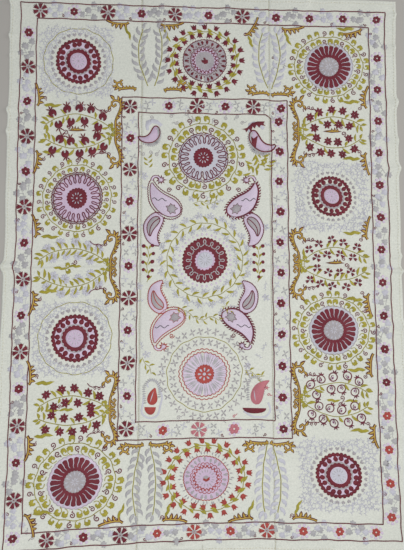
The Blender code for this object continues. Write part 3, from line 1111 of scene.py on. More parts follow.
# ---------------------------------------------------------------------------------------------
# Four flowering fields beside the rosettes on each side: two olive vines that meet at the scroll,
# with lance leaves and, above and below them, pomegranates, stars, clovers or pale asters. A
# small spindle leaf lies between the vines. Places are in millimetres from the cover's middle.
Field = namedtuple("Field", "kind x y outward length height")
FIELDS = (
    Field("pomegranate", -335, 508, -1, 262, 64),
    Field("star", 365, 522, 1, 236, 60),
    Field("aster", -345, 2, -1, 262, 70),
    Field("clover", 358, 18, 1, 244, 62),
    Field("star", -340, -515, -1, 252, 52),
    Field("outlined", 352, -485, 1, 244, 62),
)
VINE_CLOSING = 0.88
OUTER_ROW = (0.16, 0.33, 0.51, 0.70, 0.90)
INNER_ROW = (0.27, 0.45, 0.63, 0.81)
ROW_GAP = 25
LEAF_STEP = 0.0115


def smooth(points, step=0.004):
    """A curve through the given places, in metres, with its points about a step apart."""
    places = [Vector(point) / 1000 for point in points]
    places = [2 * places[0] - places[1]] + places + [2 * places[-1] - places[-2]]
    path = []
    for a, b, c, d in zip(places, places[1:], places[2:], places[3:]):
        count = max(1, round((c - b).length / step))
        for number in range(count):
            t = number / count
            path.append(0.5 * (2 * b + (c - a) * t + (2 * a - 5 * b + 4 * c - d) * t * t
                               + (3 * b - a - 3 * c + d) * t ** 3))
    return [(place.x, place.y) for place in path + [places[-2]]]


def beside(line, step, offset, start=0.0):
    """Stations at equal steps along a line: number, place offset to alternate sides, and heading."""
    gone = 0.0
    due = start
    number = 0
    for (x, y), (next_x, next_y) in zip(line, line[1:]):
        run = math.hypot(next_x - x, next_y - y)
        while gone + run > due:
            heading = math.atan2(next_y - y, next_x - x)
            side = 1 if number % 2 else -1
            share = (due - gone) / run
            px = x + share * (next_x - x) - side * offset * math.sin(heading)
            py = y + share * (next_y - y) + side * offset * math.cos(heading)
            yield number, px, py, heading, side
            number += 1
            due += step
        gone += run


def at(table, size=1.0):
    """Places from a table in millimetres and degrees; without degrees, each turns its own way."""
    places = []
    for number, row in enumerate(table):
        turn = math.radians(row[2]) if len(row) > 2 else 2.4 * number
        places.append(Place(row[0] / 1000, row[1] / 1000, turn + uneven(0.06), size * (1 + uneven(0.05))))
    return places


def star_outline(points, outer, inner, narrow=0.0):
    """A star with its points a little uneven."""
    outline = []
    for number in range(2 * points):
        reach = inner if number % 2 else outer * (1.0 - 0.12 * ((number // 2 * 5) % 3))
        angle = math.tau * number / (2 * points) + narrow
        outline.append((reach * math.cos(angle), reach * math.sin(angle)))
    return outline


def crown(base, reach, width):
    """Three pointed sepals from the end of a fruit."""
    shape = Shape().patch(lens(reach, width, base), 0.9)
    for turn in (0.85, -0.85):
        shape.patch(turned(lens(reach, width), turn, base), 0.8)
    return shape


def along_vine(field, half, share):
    """A place on the upper or lower vine of a field, some share of the way out from its scroll."""
    bow = math.sin(math.pi * VINE_CLOSING * share) ** 0.8
    return field.x + field.outward * field.length * share, field.y + half * field.height * bow


def field_fruits(kind):
    """A row of fruits outside and a row inside each vine of the fields of one kind."""
    fruits = []
    for field in [field for field in FIELDS if field.kind == kind]:
        for half in (1, -1):
            for shares, side in ((OUTER_ROW, half), (INNER_ROW, -half)):
                for share in shares:
                    x, y = along_vine(field, half, share + uneven(0.02))
                    fruits.append((x, y + side * ROW_GAP + uneven(4.0), 90 * side + uneven(35.0)))
    return fruits


field_vines = [[along_vine(field, half, number / 10) for number in range(11)] for field in FIELDS
               for half in (1, -1)]
spindles = [(field.x + 0.56 * field.outward * field.length, field.y + 4, field.outward)
            for field in FIELDS if field.kind in ("pomegranate", "clover") or field is FIELDS[1]]
pomegranates = field_fruits("pomegranate")
outlined_pomegranates = field_fruits("outlined")
stars = field_fruits("star")
clovers = field_fruits("clover")
asters = field_fruits("aster")
POMEGRANATE = ((12, 2), (11, 8.5), (6, 13), (-1, 14.5), (-8, 12.5), (-13, 8), (-14, 3.4), (-4, 1.8),
               (-4, -1.8),
               (-14, -3.4), (-13, -8), (-8, -12.5), (-1, -14.5), (6, -13), (11, -8.5), (12, -2))
pomegranate = Shape().patch(POMEGRANATE, 1.1)
outlined = Shape().stroke(circle(14.5, 1, 0.0, 14), 3.8, 1.0, True)
outlined.stroke([(-13, 2), (-7, 6), (2, 6), (5, 1)], 2.4, 0.9).patch(oval(8.0, 6.0, 8, -4.0), 1.0, base=0.5)
star = Shape()
for number, turn in enumerate((0.0, 0.85, 1.75, 2.7, 3.6, 4.5, 5.4)):
    ray = lens(18.5 - 1.5 * (number % 2), 10.0, 0.6)
    star.patch(turned(ray, turn), 0.9 + 0.05 * number)
CLOVER_PETAL = ((3, -1.2), (9, -5.2), (14.5, -6.2), (17.5, -3), (14.6, 0), (17.5, 3), (14.5, 6.2), (9, 5.2),
                (3, 1.2))
clover_petal = Shape().patch(CLOVER_PETAL, 1.0)
lance = Shape().patch(lens(32.0, 10.0, bend=3.6), 0.9)
short_lance = Shape().patch(lens(22.0, 10.0, bend=2.4), 0.9)
aster_petal = Shape().patch([(3, -1), (10, -5.2), (19, -4.4), (16.4, 0), (19, 4.4), (10, 5.2), (3, 1)], 0.7)
spindle_base = Shape().patch(lens(66.0, 11.0, -36.0), 0.8)
spindle_fill = Shape().patch(lens(48.0, 5.0, -26.0), 0.8, base=0.5)
for x, height in ((-4, 12), (6, 15), (15, 12)):
    spindle_base.patch([(x - 5, 2), (x - 2, height), (x + 5, 2)], 0.75)
    spindle_fill.patch([(x - 2.4, 1.5), (x - 1.6, height - 5), (x + 2.4, 1.5)], 0.7, 0.4, 0.5)
GOLD = silk_material("gold_silk", linear(208, 176, 78), linear(160, 128, 46))
LINE_BROWN = silk_material("brown_red_silk", linear(112, 46, 36), linear(74, 26, 24))
pomegranate_places = at(pomegranates, 1.1)
outlined_places = at(outlined_pomegranates, 1.02)
clover_places = [place._replace(turn=math.pi / 2 + uneven(0.5)) for place in at(clovers)]
crimson_layers += [(pomegranate, pomegranate_places), (crown(10.0, 18.0, 5.4), pomegranate_places),
                   (star, at(stars))]
clover_ring = [(turn, 1.0) for turn in (0.62, -0.62, 2.1, -2.1)]
for turn, size in clover_ring:
    crimson_layers.append((clover_petal, [place._replace(turn=place.turn + turn, size=size)
                                          for place in clover_places]))
burgundy_layers += [(outlined, outlined_places), (crown(13.0, 14.0, 5.4), outlined_places)]
aster_places = at(asters)
pale_layers += [(aster_petal, around(aster_places, 0.0, 7)),
                (Shape().patch(oval(5, 10, 8), 0.8), clover_places)]
pale_layers.append((Shape().patch(oval(9, 3, 8, -8), 0.8, base=0.8), pomegranate_places))
grey_layers.append((Shape().patch(star_outline(5, 5.5, 2.4), 0.9), aster_places))
lilac_layers.append((Shape().patch(oval(12, 9, 8, -4), 0.7), outlined_places))
spindle_places = [Place(x / 1000, y / 1000, 0.0 if side > 0 else math.pi, 1.1, side)
                  for x, y, side in spindles]
gold_layers = [(spindle_fill, spindle_places)]
brown_layers = [(spindle_base, spindle_places)]
spindle_curls = []
for x, y, side in spindles:
    spindle_curls.append(Place((x + 40 * side) / 1000, (y - 8) / 1000, 0.6, 1.1, side))
    spindle_curls.append(Place((x + 30 * side) / 1000, (y + 16) / 1000, 3.0, 0.9, side))
burgundy_layers.append((vine_spiral, spindle_curls))
lance_places = []
short_places = []
flowers = [(row[0] / 1000, row[1] / 1000) for row in pomegranates + outlined_pomegranates + stars + clovers]
for points in field_vines:
    vine = smooth(points)
    olive_cords.append((vine, VINE_WIDTH))
    for number, x, y, heading, side in beside(vine, LEAF_STEP, 0.001, 0.020):
        place = Place(x, y, heading + side * (0.95 + uneven(0.2)), 1.08 + uneven(0.12), side)
        middle = (x + 0.017 * math.cos(place.turn), y + 0.017 * math.sin(place.turn))
        if min(math.dist(middle, flower) for flower in flowers) > 0.017:
            (short_places if number % 3 == 0 else lance_places).append(place)
    for side in (1, -1):
        short_places.append(Place(points[-1][0] / 1000, points[-1][1] / 1000, heading + side * 0.7, 1.1,
                                  side))
olive_layers += [(lance, lance_places), (short_lance, short_places)]
vine_curls = [Place((points[0][0] + (away if points[0][0] > 0 else -away)) / 1000,
                    (points[0][1] + side * lift) / 1000,
                    side * turn + (0.0 if points[0][0] > 0 else math.pi), 0.9, side
                    if points[0][0] > 0 else -side)
              for points in field_vines[::2] for side in (1, -1)
              for away, lift, turn in ((8, 9, 0.9), (20, 24, 0.1))]
olive_layers.append((curled_leaf, vine_curls))
WAVY_LEAF = ((0, 0), (9, -6), (19, -4), (29, -9), (41, -7), (55, 1), (43, 2), (33, 0), (24, 5), (11, 4))
wavy_leaf = Shape().patch(WAVY_LEAF, 0.9)
MIDDLE_LEAVES = ((-556, 2, 0), (-452, 6, 180), (448, -486, 0), (566, -490, 180), (-575, -510, 0),
                 (-470, -512, 180))
MIDDLE_CURLS = ((-504, 14, 0), (-500, -10, 200), (507, -480, 30), (-522, -500, 100), (-476, 22, 300),
                (500, -504, 160))
olive_layers += [(wavy_leaf, at(MIDDLE_LEAVES)), (curled_leaf, at(MIDDLE_CURLS[:2]))]
burgundy_layers.append((vine_spiral, at(MIDDLE_CURLS[2:])))

# ---------------------------------------------------------------------------------------------
# Rings of tulips stand round the two seeded rosettes: a vine with a row of tulips on each side,
# crimson at the far end and brick red at the near one, among small olive leaves.
TULIP_RINGS = (LeafRing(SEEDED_FAR[0], 0.124, 0.115, 20, 0.0),
               LeafRing(SEEDED_NEAR[0], 0.136, 0.119, 20, 0.1))
TULIP = ((-9, -1.5), (-6, -7.5), (1, -8), (11.5, -11), (7, -3.6), (13, 0), (7, 3.6), (11.5, 11), (1, 8),
         (-6, 7.5), (-9, 1.5))
tulip = Shape().patch(TULIP, 1.0)
tulip_layers = []
for ring in TULIP_RINGS:
    tulips = []
    for number in range(ring.stations):
        for side in (1, -1):
            angle = ring.start + math.tau * (number + (0.5 if side < 0 else 0.0)
                                             + uneven(0.06)) / ring.stations
            x, y = on_ring(ring, angle, (0.0170 if side > 0 else -0.0135) + uneven(0.001))
            tulips.append(Place(x, y, angle + (0.0 if side > 0 else math.pi) + uneven(0.2), 1.06
                                + uneven(0.06)))
            x, y = on_ring(ring, angle + 0.06, 0.001 * side)
            short_places.append(Place(x, y, angle + side * (1.25 if side > 0 else 1.9), 1.15, side))
    tulip_layers.append((tulip, tulips))
    olive_cords.append((ring_line(ring), VINE_WIDTH))
crimson_layers.append(tulip_layers[0])
brick_layers.append(tulip_layers[1])

# ---------------------------------------------------------------------------------------------
# The middle rosette stands in an olive vine with lance leaves on both sides and pale florets;
# the rimmed one in a thin olive circle between two rings of grey four-armed florets. The beaded
# ones on the left have an olive oval; round all the beaded ones lie very pale sprigs.
MIDDLE_RING = LeafRing(WAVY[0], 0.141, 0.139, 46, 0.0)
OVALS = (LeafRing(BEADED[0], 0.133, 0.125, 0, 0.0), LeafRing(BEADED[1], 0.135, 0.131, 0, 0.0))
FLORET_CIRCLE = LeafRing(RIMMED[0], 0.137, 0.137, 0, 0.0)
middle_leaves = []
for number in range(MIDDLE_RING.stations):
    side = 1 if number % 2 else -1
    angle = math.tau * (number + uneven(0.1)) / MIDDLE_RING.stations
    x, y = on_ring(MIDDLE_RING, angle, 0.001 * side)
    middle_leaves.append(Place(x, y, angle + math.pi / 2 - side * (0.75 + uneven(0.15)), 1.0, -side))
olive_layers.append((lance, middle_leaves))
olive_cords += [(ring_line(ring), 0.0026) for ring in (MIDDLE_RING,) + OVALS + (FLORET_CIRCLE,)]
pale_floret = Shape()
for turn in range(5):
    pale_floret.patch(turned(petal(12.0, 7.0, 1.0), math.tau * turn / 5), 0.6 + 0.07 * turn)
four_arm = Shape()
for turn in range(4):
    angle = math.tau * turn / 4 + 0.3 * (turn % 2)
    four_arm.patch(turned(lens(15.0, 5.8, 0.4), angle), 0.7 + 0.07 * turn)
pale_layers.append((pale_floret, around(WAVY, 116.0, 16) + around(WAVY, 168.0, 22, size=1.1)))
grey_layers.append((four_arm, around(RIMMED, 118.0, 27, tilt=0.4) + around(RIMMED, 158.0, 34, tilt=0.2)))
sprig = Shape().stroke([(-13, -3), (-4, 1), (5, 0), (13, 3)], 1.8, 0.7)
for x, y, turn in ((-8, 0, 1.0), (-2, 0, -0.9), (4, 0, 0.9), (10, 2, -0.8), (12, 3, 0.5)):
    sprig.patch(turned(lens(8.5, 3.6), turn, x, y), 0.6)
sprig_places = []
for centre in BEADED:
    for radius, count in ((112.0, 30), (124.0, 33), (136.0, 36), (148.0, 39), (160.0, 42), (172.0, 44)):
        ringed = around([centre._replace(size=1.0)], radius, count, start=radius)
        sprig_places += [place._replace(turn=place.turn + 1.6 + uneven(1.2)) for place in ringed
                         if abs(place.y - centre.y) < 0.132 and abs(place.x) < 0.625 and abs(place.x) > 0.345]
sprig_places += around(WAVY, 117.0, 18, start=0.2, tilt=1.5) + around(WAVY, 163.0, 26, start=0.1, tilt=1.5,
                                                                      size=1.2)
pale_layers.append((sprig, sprig_places))

# ---------------------------------------------------------------------------------------------
# Pairs of ferns stand between the rosettes at both ends: an olive stem with drooping leaves in
# grey on the left and in pale lavender on the right.
FERN_SIZES_GREY = ((-212, 686, 905, -36), (-186, 686, 908, 28), (-224, -652, -900, -26),
                   (-190, -648, -898, 20))
FERN_SIZES_PALE = ((248, 686, 902, -36), (262, 686, 902, 32), (232, -652, -898, -22), (250, -650, -898, 26))


def fern_line(x, foot, tip, bow):
    """A fern's stem, bowed to one side, in millimetres."""
    return [(x + bow * math.sin(0.16 * math.pi * number), foot + (tip - foot) * number / 5)
            for number in range(6)]


FERNS_GREY = [fern_line(*sizes) for sizes in FERN_SIZES_GREY]
FERNS_PALE = [fern_line(*sizes) for sizes in FERN_SIZES_PALE]
FERN_STEP = 0.0290
FERN_LEAF = ((0, 0), (6, -5), (13, -7), (20, -6), (29, -11), (26, -1), (19, 4.5), (11, 5.5), (4, 3))
fern_leaf = Shape().patch(FERN_LEAF, 0.9)
fern_grey_places = []
fern_pale_places = []
for table, places in ((FERNS_GREY, fern_grey_places), (FERNS_PALE, fern_pale_places)):
    for points in table:
        stem = smooth(points)
        olive_cords.append((stem, 0.0036))
        for number, x, y, heading, side in beside(stem, FERN_STEP / 2, 0.003, 0.012):
            places.append(Place(x, y, heading + side * (0.95 + uneven(0.1)), 1.18 + uneven(0.06), side))
        tip = stem[-1]
        places.append(Place(tip[0], tip[1], heading, 1.0, 1))
soft_grey_layers.append((fern_leaf, fern_grey_places))
pale_layers.append((fern_leaf, fern_pale_places))


# ---------------------------------------------------------------------------------------------
# Florets fill the two borders, large and small by turns on the left and mostly small ones on the
# right, with three-leaved sprays in grey or pale lavender between them and burgundy curls.
# In each row a small letter is a small floret and a capital a large one: s crimson, r red, p rose.
FLORET_ROWS = (
    ((-669, 880), (-669, -950), "sSsSsSsSsSsSsSs"),
    ((669, 815), (669, -910), "sssssssssssrrrr"),
    ((-625, 965), (669, 965), "SsSsSsSssss"),
    ((-550, -965), (610, -965), "SsSrRrRrrr"),
    ((-277, 604), (-277, -590), "SsSsSsSsSsS"),
    ((289, 560), (289, -596), "sssssssssss"),
    ((-130, 611), (297, 611), "sSsSs"),
    ((-145, -598), (110, -598), "rPp"),
)


def florets(kinds):
    """The florets of some kinds, at even steps along the border rows."""
    places = []
    for (x, y), (end_x, end_y), row in FLORET_ROWS:
        for number, kind in enumerate(row):
            share = number / (len(row) - 1)
            if kind in kinds:
                places.append((x + share * (end_x - x), y + share * (end_y - y)))
    return places


BIG_PETAL = ((8, -2.2), (15, -5.0), (22, -7.4), (28.5, -9.2), (25.5, -4.4), (31, -2.6), (26, 0), (31, 2.6),
             (25.5, 4.4),
             (28.5, 9.2), (22, 7.4), (15, 5.0), (8, 2.2))
ROSE = silk_material("rose_silk", linear(208, 130, 138), linear(166, 92, 104))
big_petal = Shape().patch(BIG_PETAL, 1.0)
small_petal = Shape().patch(oval(12.4, 12.4, 10, 9.6), 1.0)
small_middle = Shape().disc(8.5, 0.9, hole=2.6)
halo_petal = Shape().patch(petal(13.0, 13.0, 13.5), 0.55)
spoke = Shape().patch(lens(15.0, 3.0, 5.0), 0.8)
for layers, big, small in ((crimson_layers, florets("S"), florets("s")),
                           (vermilion_layers, florets("R"), florets("r"))):
    layers.append((big_petal, around(at(big), 0.0, 7, spread=0.6)))
    layers.append((Shape().patch(oval(5.0, 5.0, 8), 1.2), at(big)))
    layers.append((small_petal, around(at(small, 1.05), 0.0, 6, spread=0.6)))
    layers.append((small_middle, at(small, 1.05)))
rose_layers = [(big_petal, around(at(florets("P")), 0.0, 7)),
               (small_petal, around(at(florets("p"), 1.3), 0.0, 6))]
rose_layers.append((small_middle, at(florets("p"), 1.3)))
grey_layers.append((spoke, around(at(florets("SRP")), 0.0, 7, start=0.45)))
grey_layers.append((Shape().disc(7.5, 0.6, hole=3.0), at(florets("SRP"))))
halo_places = around(at(florets("srp")), 0.0, 8)
pale_lilac_layers.append((halo_petal, halo_places))

LOBED_LEAF = ((-3, 0), (-5, -8), (0, -13), (4, -8.5), (9, -13), (12, -7), (19, -6), (16.5, 0), (19, 6),
              (12, 7), (9, 13),
              (4, 8.5), (0, 13), (-5, 8))
spray = Shape().stroke([(-19, -5), (-8, 2), (6, 1), (19, 7)], 1.8,
                       0.7).stroke([(-6, 2), (-1, -8), (3, -12)], 1.8, 0.7)
for x, y, turn in ((-16, -4, 3.4), (3, -13, -1.2), (17, 7, 0.5)):
    spray.patch(turned(LOBED_LEAF, turn, x, y), 0.6)


def between(table, axis, low, high):
    """The middles of the gaps between florets along a border, in millimetres."""
    row = sorted(place[axis] for place in table if low(place))
    return [(first + second) / 2 for first, second in zip(row, row[1:]) if second - first > high]


grey_sprays = []
pale_sprays = []
grey_crosses = []
pale_crosses = []
border_curls = []
every_floret = florets("SRPsrp")
BORDER_ROWS = (
    (1, -669, 0), (1, 669, 0), (0, 965, 1), (0, -965, 1), (1, -277, 0), (1, 289, 0), (0, 611, 1),
    (0, -598, 1),
)
for axis, fixed, other in BORDER_ROWS:
    gaps = between(every_floret, axis, lambda place: abs(place[other] - fixed) < 14, 40)
    for number, middle in enumerate(gaps):
        for side in (1, -1):
            aside = side * (12.0 + uneven(1.5))
            ahead = side * (3.0 if number % 2 else -3.0) * (3.5 + uneven(1.0))
            x, y = (fixed + aside, middle + ahead) if axis else (middle + ahead, fixed + aside)
            turn = uneven(0.6) + (math.pi / 2 if axis else 0.0) + (math.pi if side > 0 else 0.0)
            grey = (number + (side > 0)) % 2 if fixed not in (965, -669) else number % 2
            rows = (grey_sprays, pale_sprays) if abs(fixed) > 620 else (grey_crosses, pale_crosses)
            rows[0 if grey else 1].append(Place(x / 1000, y / 1000, turn, 1.0 + uneven(0.08), side))
            if abs(fixed) < 620:
                x, y = (x + 12 * side, y - 22) if axis else (x - 22, y - 4 * side)
                rows[1 if grey else 0].append(Place(x / 1000, y / 1000, turn + 0.5, 0.85 + uneven(0.08),
                                                    side))
        if number % 3 != 1:
            x, y = (fixed - 22, middle + 20) if axis else (middle + 22, fixed - 20)
            border_curls.append(Place(x / 1000, y / 1000, 1.9 * number, 0.85, 1 if number % 2 else -1))
soft_grey_layers += [(spray, grey_sprays), (four_arm, grey_crosses)]
pale_layers += [(spray, pale_sprays), (four_arm, pale_crosses)]
burgundy_layers.append((curl(6.4, 3.0, 1.1, 4.0), border_curls))

# ---------------------------------------------------------------------------------------------
# Gold acanthus with a brown-red outline: a tall scroll stands beside each flowering field, its
# two halves mirrored about the place where the vines meet; bars lie under the ferns, and single
# leaves with a burgundy curl sit in the outer corners of the fields.
HALF_SCROLL = ((0, 5), (14, 6), (28, 6), (42, 4), (56, -1), (70, -7), (84, -12), (98, -15), (110, -13),
               (117, -4), (119, 8),
               (113, 19), (102, 20), (96, 12), (100, 5), (107, 7))
HALF_BAR = ((0, 0), (14, 2), (28, 3), (42, 2), (56, 0), (68, 3), (76, 11), (74, 21), (64, 25), (56, 19),
            (59, 12))


def acanthus(path, spikes, stem_width, spike_length):
    """An acanthus stem with spikes: first its brown outline, then its gold filling."""
    edge = Shape().stroke(path, stem_width + 4.6, 0.8)
    fill = Shape().stroke(path, stem_width, 0.5, base=0.6)
    for x, y, degrees, share in spikes:
        turn = math.radians(degrees)
        reach = spike_length * share
        bend = 3.4 if degrees < 0 else -3.4
        edge.patch(turned(lens(reach, 12.0 * share ** 0.5, -2.0, bend), turn, x, y), 0.75)
        fill.patch(turned(lens(reach * 0.78, 6.4 * share ** 0.5, -1.0, bend * 0.9), turn, x, y), 0.5, 0.4,
                   0.6)
    return edge, fill


SCROLL_SPIKES = ((2, 4, -90, 0.8), (44, 2, -52, 1.0), (58, -3, -50, 1.05), (72, -9, -48, 1.1),
                 (86, -14, -52, 1.1),
                 (99, -16, -40, 1.0), (110, -14, -18, 1.0), (118, -4, 8, 0.9), (118, 10, 40, 1.3),
                 (101, 21, 150, 1.1))
SCROLL_BUDS = ((13, -6), (29, -7))
BAR_SPIKES = ((8, 3, 58, 0.7), (20, 4, 52, 0.75), (32, 4, 52, 0.75), (44, 3, 50, 0.8), (57, -1, -40, 0.9),
              (68, 2, -28, 1.1),
              (77, 11, 6, 1.1), (74, 23, 44, 1.0), (60, 25, 140, 0.8), (2, -1, -62, 0.7))
LEAF_SPIKES = ((-4, 1, -88, 0.8), (8, -1, -66, 0.95), (22, -1, -58, 0.85), (35, 0, -50, 0.65))
CORNER_LEAVES = (
    (-623, 618, 92, 1), (-624, 420, -92, -1), (-624, 128, 92, 1), (-626, -96, -92, -1), (-626, -400, 92, 1),
    (-624, -610, -90, -1), (-620, -880, -60, -1), (617, 632, 88, -1), (614, 430, -88, 1), (612, 130, 88, -1),
    (612, -104, -90, 1), (612, -384, 90, -1), (616, -590, -90, 1), (600, 918, 200, -1), (-300, 921, 180, -1),
    (-148, 920, 0, 1), (176, 900, 50, 1), (318, 919, 0, 1), (-300, -914, 180, 1), (-130, -915, 0, -1),
    (160, -918, 180, 1), (330, -914, 0, -1),
)
BARS = ((-256, 672, 180, -1), (-152, 672, 0, 1), (254, 664, 180, -1), (258, 664, 0, 1),
        (-213, -648, 180, 1), (-196, -646, 0, -1), (236, -648, 180, 1), (240, -648, 0, -1))
scroll_edge, scroll_fill = acanthus(HALF_SCROLL, SCROLL_SPIKES, 5.0, 25.0)
for x, y in SCROLL_BUDS:
    bud_line = [(x + u, y + v) for u, v in ((2, 9), (-6, 4), (-6, -4), (0, -8), (6, -3), (1, 1))]
    scroll_edge.stroke(bud_line, 7.6, 0.75)
    scroll_fill.stroke(bud_line, 3.6, 0.5, base=0.6)
bar_edge, bar_fill = acanthus(HALF_BAR, BAR_SPIKES, 5.8, 20.0)
leaf_edge, leaf_fill = acanthus(((-12, 6), (-5, 1), (8, 0), (22, 1), (36, 3), (50, 7), (60, 12)),
                                LEAF_SPIKES, 3.8, 23.0)


def with_hand(table, size=1.0):
    """Places from a table whose fourth number is the hand: -1 for a mirrored shape."""
    return [Place(x / 1000, y / 1000, math.radians(turn), size, hand) for x, y, turn, hand in table]


scroll_places = []
scroll_curls = []
for field in FIELDS:
    inward = -field.outward
    x, y = field.x + 7 * inward, field.y
    for end in (1, -1):
        scroll_places.append(Place(x / 1000, y / 1000, math.radians(90 * end), 1.0, end * inward))
        scroll_curls.append(Place((x - 44 * inward) / 1000, (y + 84 * end) / 1000,
                                  math.radians(90 + 90 * inward), 1.25, end))
brown_layers += [(scroll_edge, scroll_places), (bar_edge, with_hand(BARS)),
                 (leaf_edge, with_hand(CORNER_LEAVES, 1.2))]
gold_layers += [(scroll_fill, scroll_places), (bar_fill, with_hand(BARS)),
                (leaf_fill, with_hand(CORNER_LEAVES, 1.2))]
tendril = Shape().stroke([(34, -10), (28, -2), (20, 2), (12, 1), (9, 6), (13, 10), (16, 5), (10, 0), (0, 3),
                          (-3, 8), (2, 11), (4, 5),
                         (-4, 2), (-12, 5), (-17, 1), (-15, -6)], 2.6, 0.9)
burgundy_layers.append((tendril, scroll_curls))
leaf_sprigs = []
leaf_curls = []
for x, y, turn, hand in CORNER_LEAVES:
    toward = -1 if x > 0 else 1
    if abs(x) > 560:
        leaf_sprigs.append(Place((x + 16 * toward) / 1000, (y - 10 * hand) / 1000, 0.0
                                 if toward > 0 else math.pi, 1.3, hand))
        leaf_curls.append(Place((x + 20 * toward) / 1000, (y + 16 * hand) / 1000, 0.8 * hand, 0.9, hand))
    else:
        up = -1 if y > 0 else 1
        leaf_sprigs.append(Place((x - 4) / 1000, (y + 8 * up) / 1000, up * 1.15, 1.1, hand))
        leaf_curls.append(Place((x - 14) / 1000, (y + 6 * up) / 1000, 2.0, 0.9, hand))
olive_layers.append((wavy_leaf, leaf_sprigs))
burgundy_layers.append((vine_spiral, leaf_curls))


# ---------------------------------------------------------------------------------------------
# Four double paisleys stand in the middle field: a lilac one with a scalloped double rim, and a
# smaller one with a grey core and a toothed edge that grows from it. The far left one is drawn,
# and the others mirror it. Each half swells and tapers along a bent spine, in millimetres.
Paisley = namedtuple("Paisley", "x y heading length width hook")
LARGE_HALF = Paisley(90, -16, 3.0, 180, 84, -1.5)
SMALL_HALF = Paisley(20, -38, 3.6, 142, 62, 2.3)
SMALL_CORE = Paisley(8, -46, 3.65, 84, 34, 1.3)
PAISLEYS = (Place(-0.171, 0.227, 0.0, 1.0, 1), Place(0.175, 0.229, math.pi, 1.0, -1),
            Place(-0.156, -0.196, 0.0, 0.97, -1),
            Place(0.153, -0.195, math.pi, 0.97, 1))


def paisley(form, inset=0.0, steps=22):
    """A paisley's outline, from its round end up one side to the curled tip and back."""
    left = []
    right = []
    x, y = form.x, form.y
    gone = 0.0
    for number in range(steps + 1):
        share = 0.5 - 0.5 * math.cos(math.pi * number / steps)
        turn = form.heading + form.hook * share ** 1.4
        x += form.length * (share - gone) * math.cos(turn)
        y += form.length * (share - gone) * math.sin(turn)
        gone = share
        half = 0.5 * form.width * max(0.0, math.sin(math.pi * share ** 0.62)) ** 0.8 - inset
        if half > 1.5:
            left.append((x - half * math.sin(turn), y + half * math.cos(turn)))
            right.append((x + half * math.sin(turn), y - half * math.cos(turn)))
    return left + right[::-1]


def spine(form):
    """The middle line of a paisley."""
    path = paisley(form)
    return [((x + u) / 2, (y + v) / 2) for (x, y), (u, v) in zip(path[:len(path) // 2], path[::-1])]


def bowl(x, y, width, depth):
    """A half oval that hangs below a level line."""
    angles = [math.pi * number / 10 for number in range(11)]
    return [(x - width / 2 * math.cos(angle), y - depth * math.sin(angle)) for angle in angles]


def rounded(points, step=5.0):
    """A smooth path through places in millimetres."""
    return [(x * 1000, y * 1000) for x, y in smooth(points, step / 1000)]


def scalloped(path, pitch, depth):
    """The path with small round scallops along its left side."""
    result = []
    gone = 0.0
    for (x, y), (next_x, next_y) in zip(path, path[1:]):
        run = math.hypot(next_x - x, next_y - y)
        steps = max(1, round(run / (pitch / 4)))
        for number in range(steps):
            share = number / steps
            out = depth * abs(math.sin(math.pi * (gone + share * run) / pitch))
            result.append((x + share * (next_x - x) + out * -(next_y - y) / run, y + share * (next_y - y)
                           + out * (next_x - x) / run))
        gone += run
    return result


def toothed(shape, path, pitch, reach, lean=0.5):
    """Adds small spikes that stand out of the left side of a path."""
    gone = 0.0
    due = 0.0
    for (x, y), (next_x, next_y) in zip(path, path[1:]):
        run = math.hypot(next_x - x, next_y - y)
        while gone + run > due:
            share = (due - gone) / run
            px, py = x + share * (next_x - x), y + share * (next_y - y)
            heading = math.atan2(next_y - y, next_x - x) + math.copysign(math.pi / 2 - lean, reach)
            spike = lens(abs(reach), 0.42 * abs(reach), -1.5, 0.08 * reach)
            shape.patch(turned(spike, heading, px, py), 0.8, 0.4)
            due += pitch
        gone += run
    return shape


large_rim = paisley(LARGE_HALF)
near_rim = paisley(LARGE_HALF, 3.5)
inner_path = paisley(LARGE_HALF, 7.0)
small_path = paisley(SMALL_HALF)
core_path = paisley(SMALL_CORE)
tip_x, tip_y = spine(LARGE_HALF)[-1]
curled_tip = [(tip_x + 16 - 16 * math.cos(0.45 * number), tip_y + 16 * math.sin(0.45 * number))
              for number in range(7)]
head_x, head_y = tip_x + 33, tip_y + 4
tip_fill = Shape().stroke(curled_tip, 7.4, 0.5, base=0.7, end_width=5.0)
tip_fill.patch([(head_x + 0.55 * u, head_y + 0.55 * v) for u, v in star_outline(9, 23.0, 10.5)], 0.5, 0.4,
               0.75)
tendril_turns = [(10.0 - 0.7 * number, 0.8 * number) for number in range(12)]
small_tendril = [(42 + reach * math.cos(turn), 62 + reach * math.sin(turn)) for reach, turn in tendril_turns]
flower = [(52 + u, -8 + v) for u, v in star_outline(7, 24.0, 14.0)]


def paisley_lines(spiky):
    """The lines of a double paisley, whose large half is spiky all round or has a scalloped rim."""
    lines = Shape().stroke(curled_tip, 13.0, 0.8, end_width=9.0)
    lines.stroke(inner_path, 3.2, 0.7, True, 0.5).stroke(small_tendril, 3.2, 0.9)
    if spiky:
        toothed(lines.stroke(near_rim, 3.2, 1.0, True), near_rim + near_rim[:1], 10.5, 14.0, 0.8)
    else:
        lines.stroke(scalloped(large_rim + large_rim[:1], 9.0, 3.0), 3.4, 1.0, True)
    lines.stroke(core_path, 3.4, 0.5, True, 1.0).stroke(spine(SMALL_CORE), 3.8, 0.5, base=1.0)
    lines.stroke(flower, 2.0, 0.4, True, 1.0)
    turn = len(small_path) // 2
    lines.stroke(small_path[:turn + 1], 3.2, 0.7, base=0.6)
    lines.stroke(scalloped(small_path[turn:], 7.0, 2.2), 3.2, 0.7, base=0.6)
    toothed(lines, small_path[:turn], 10.0, 11.0, 0.6)
    lines.patch([(head_x + u, head_y + v) for u, v in star_outline(9, 23.0, 10.5)], 0.7)
    return lines


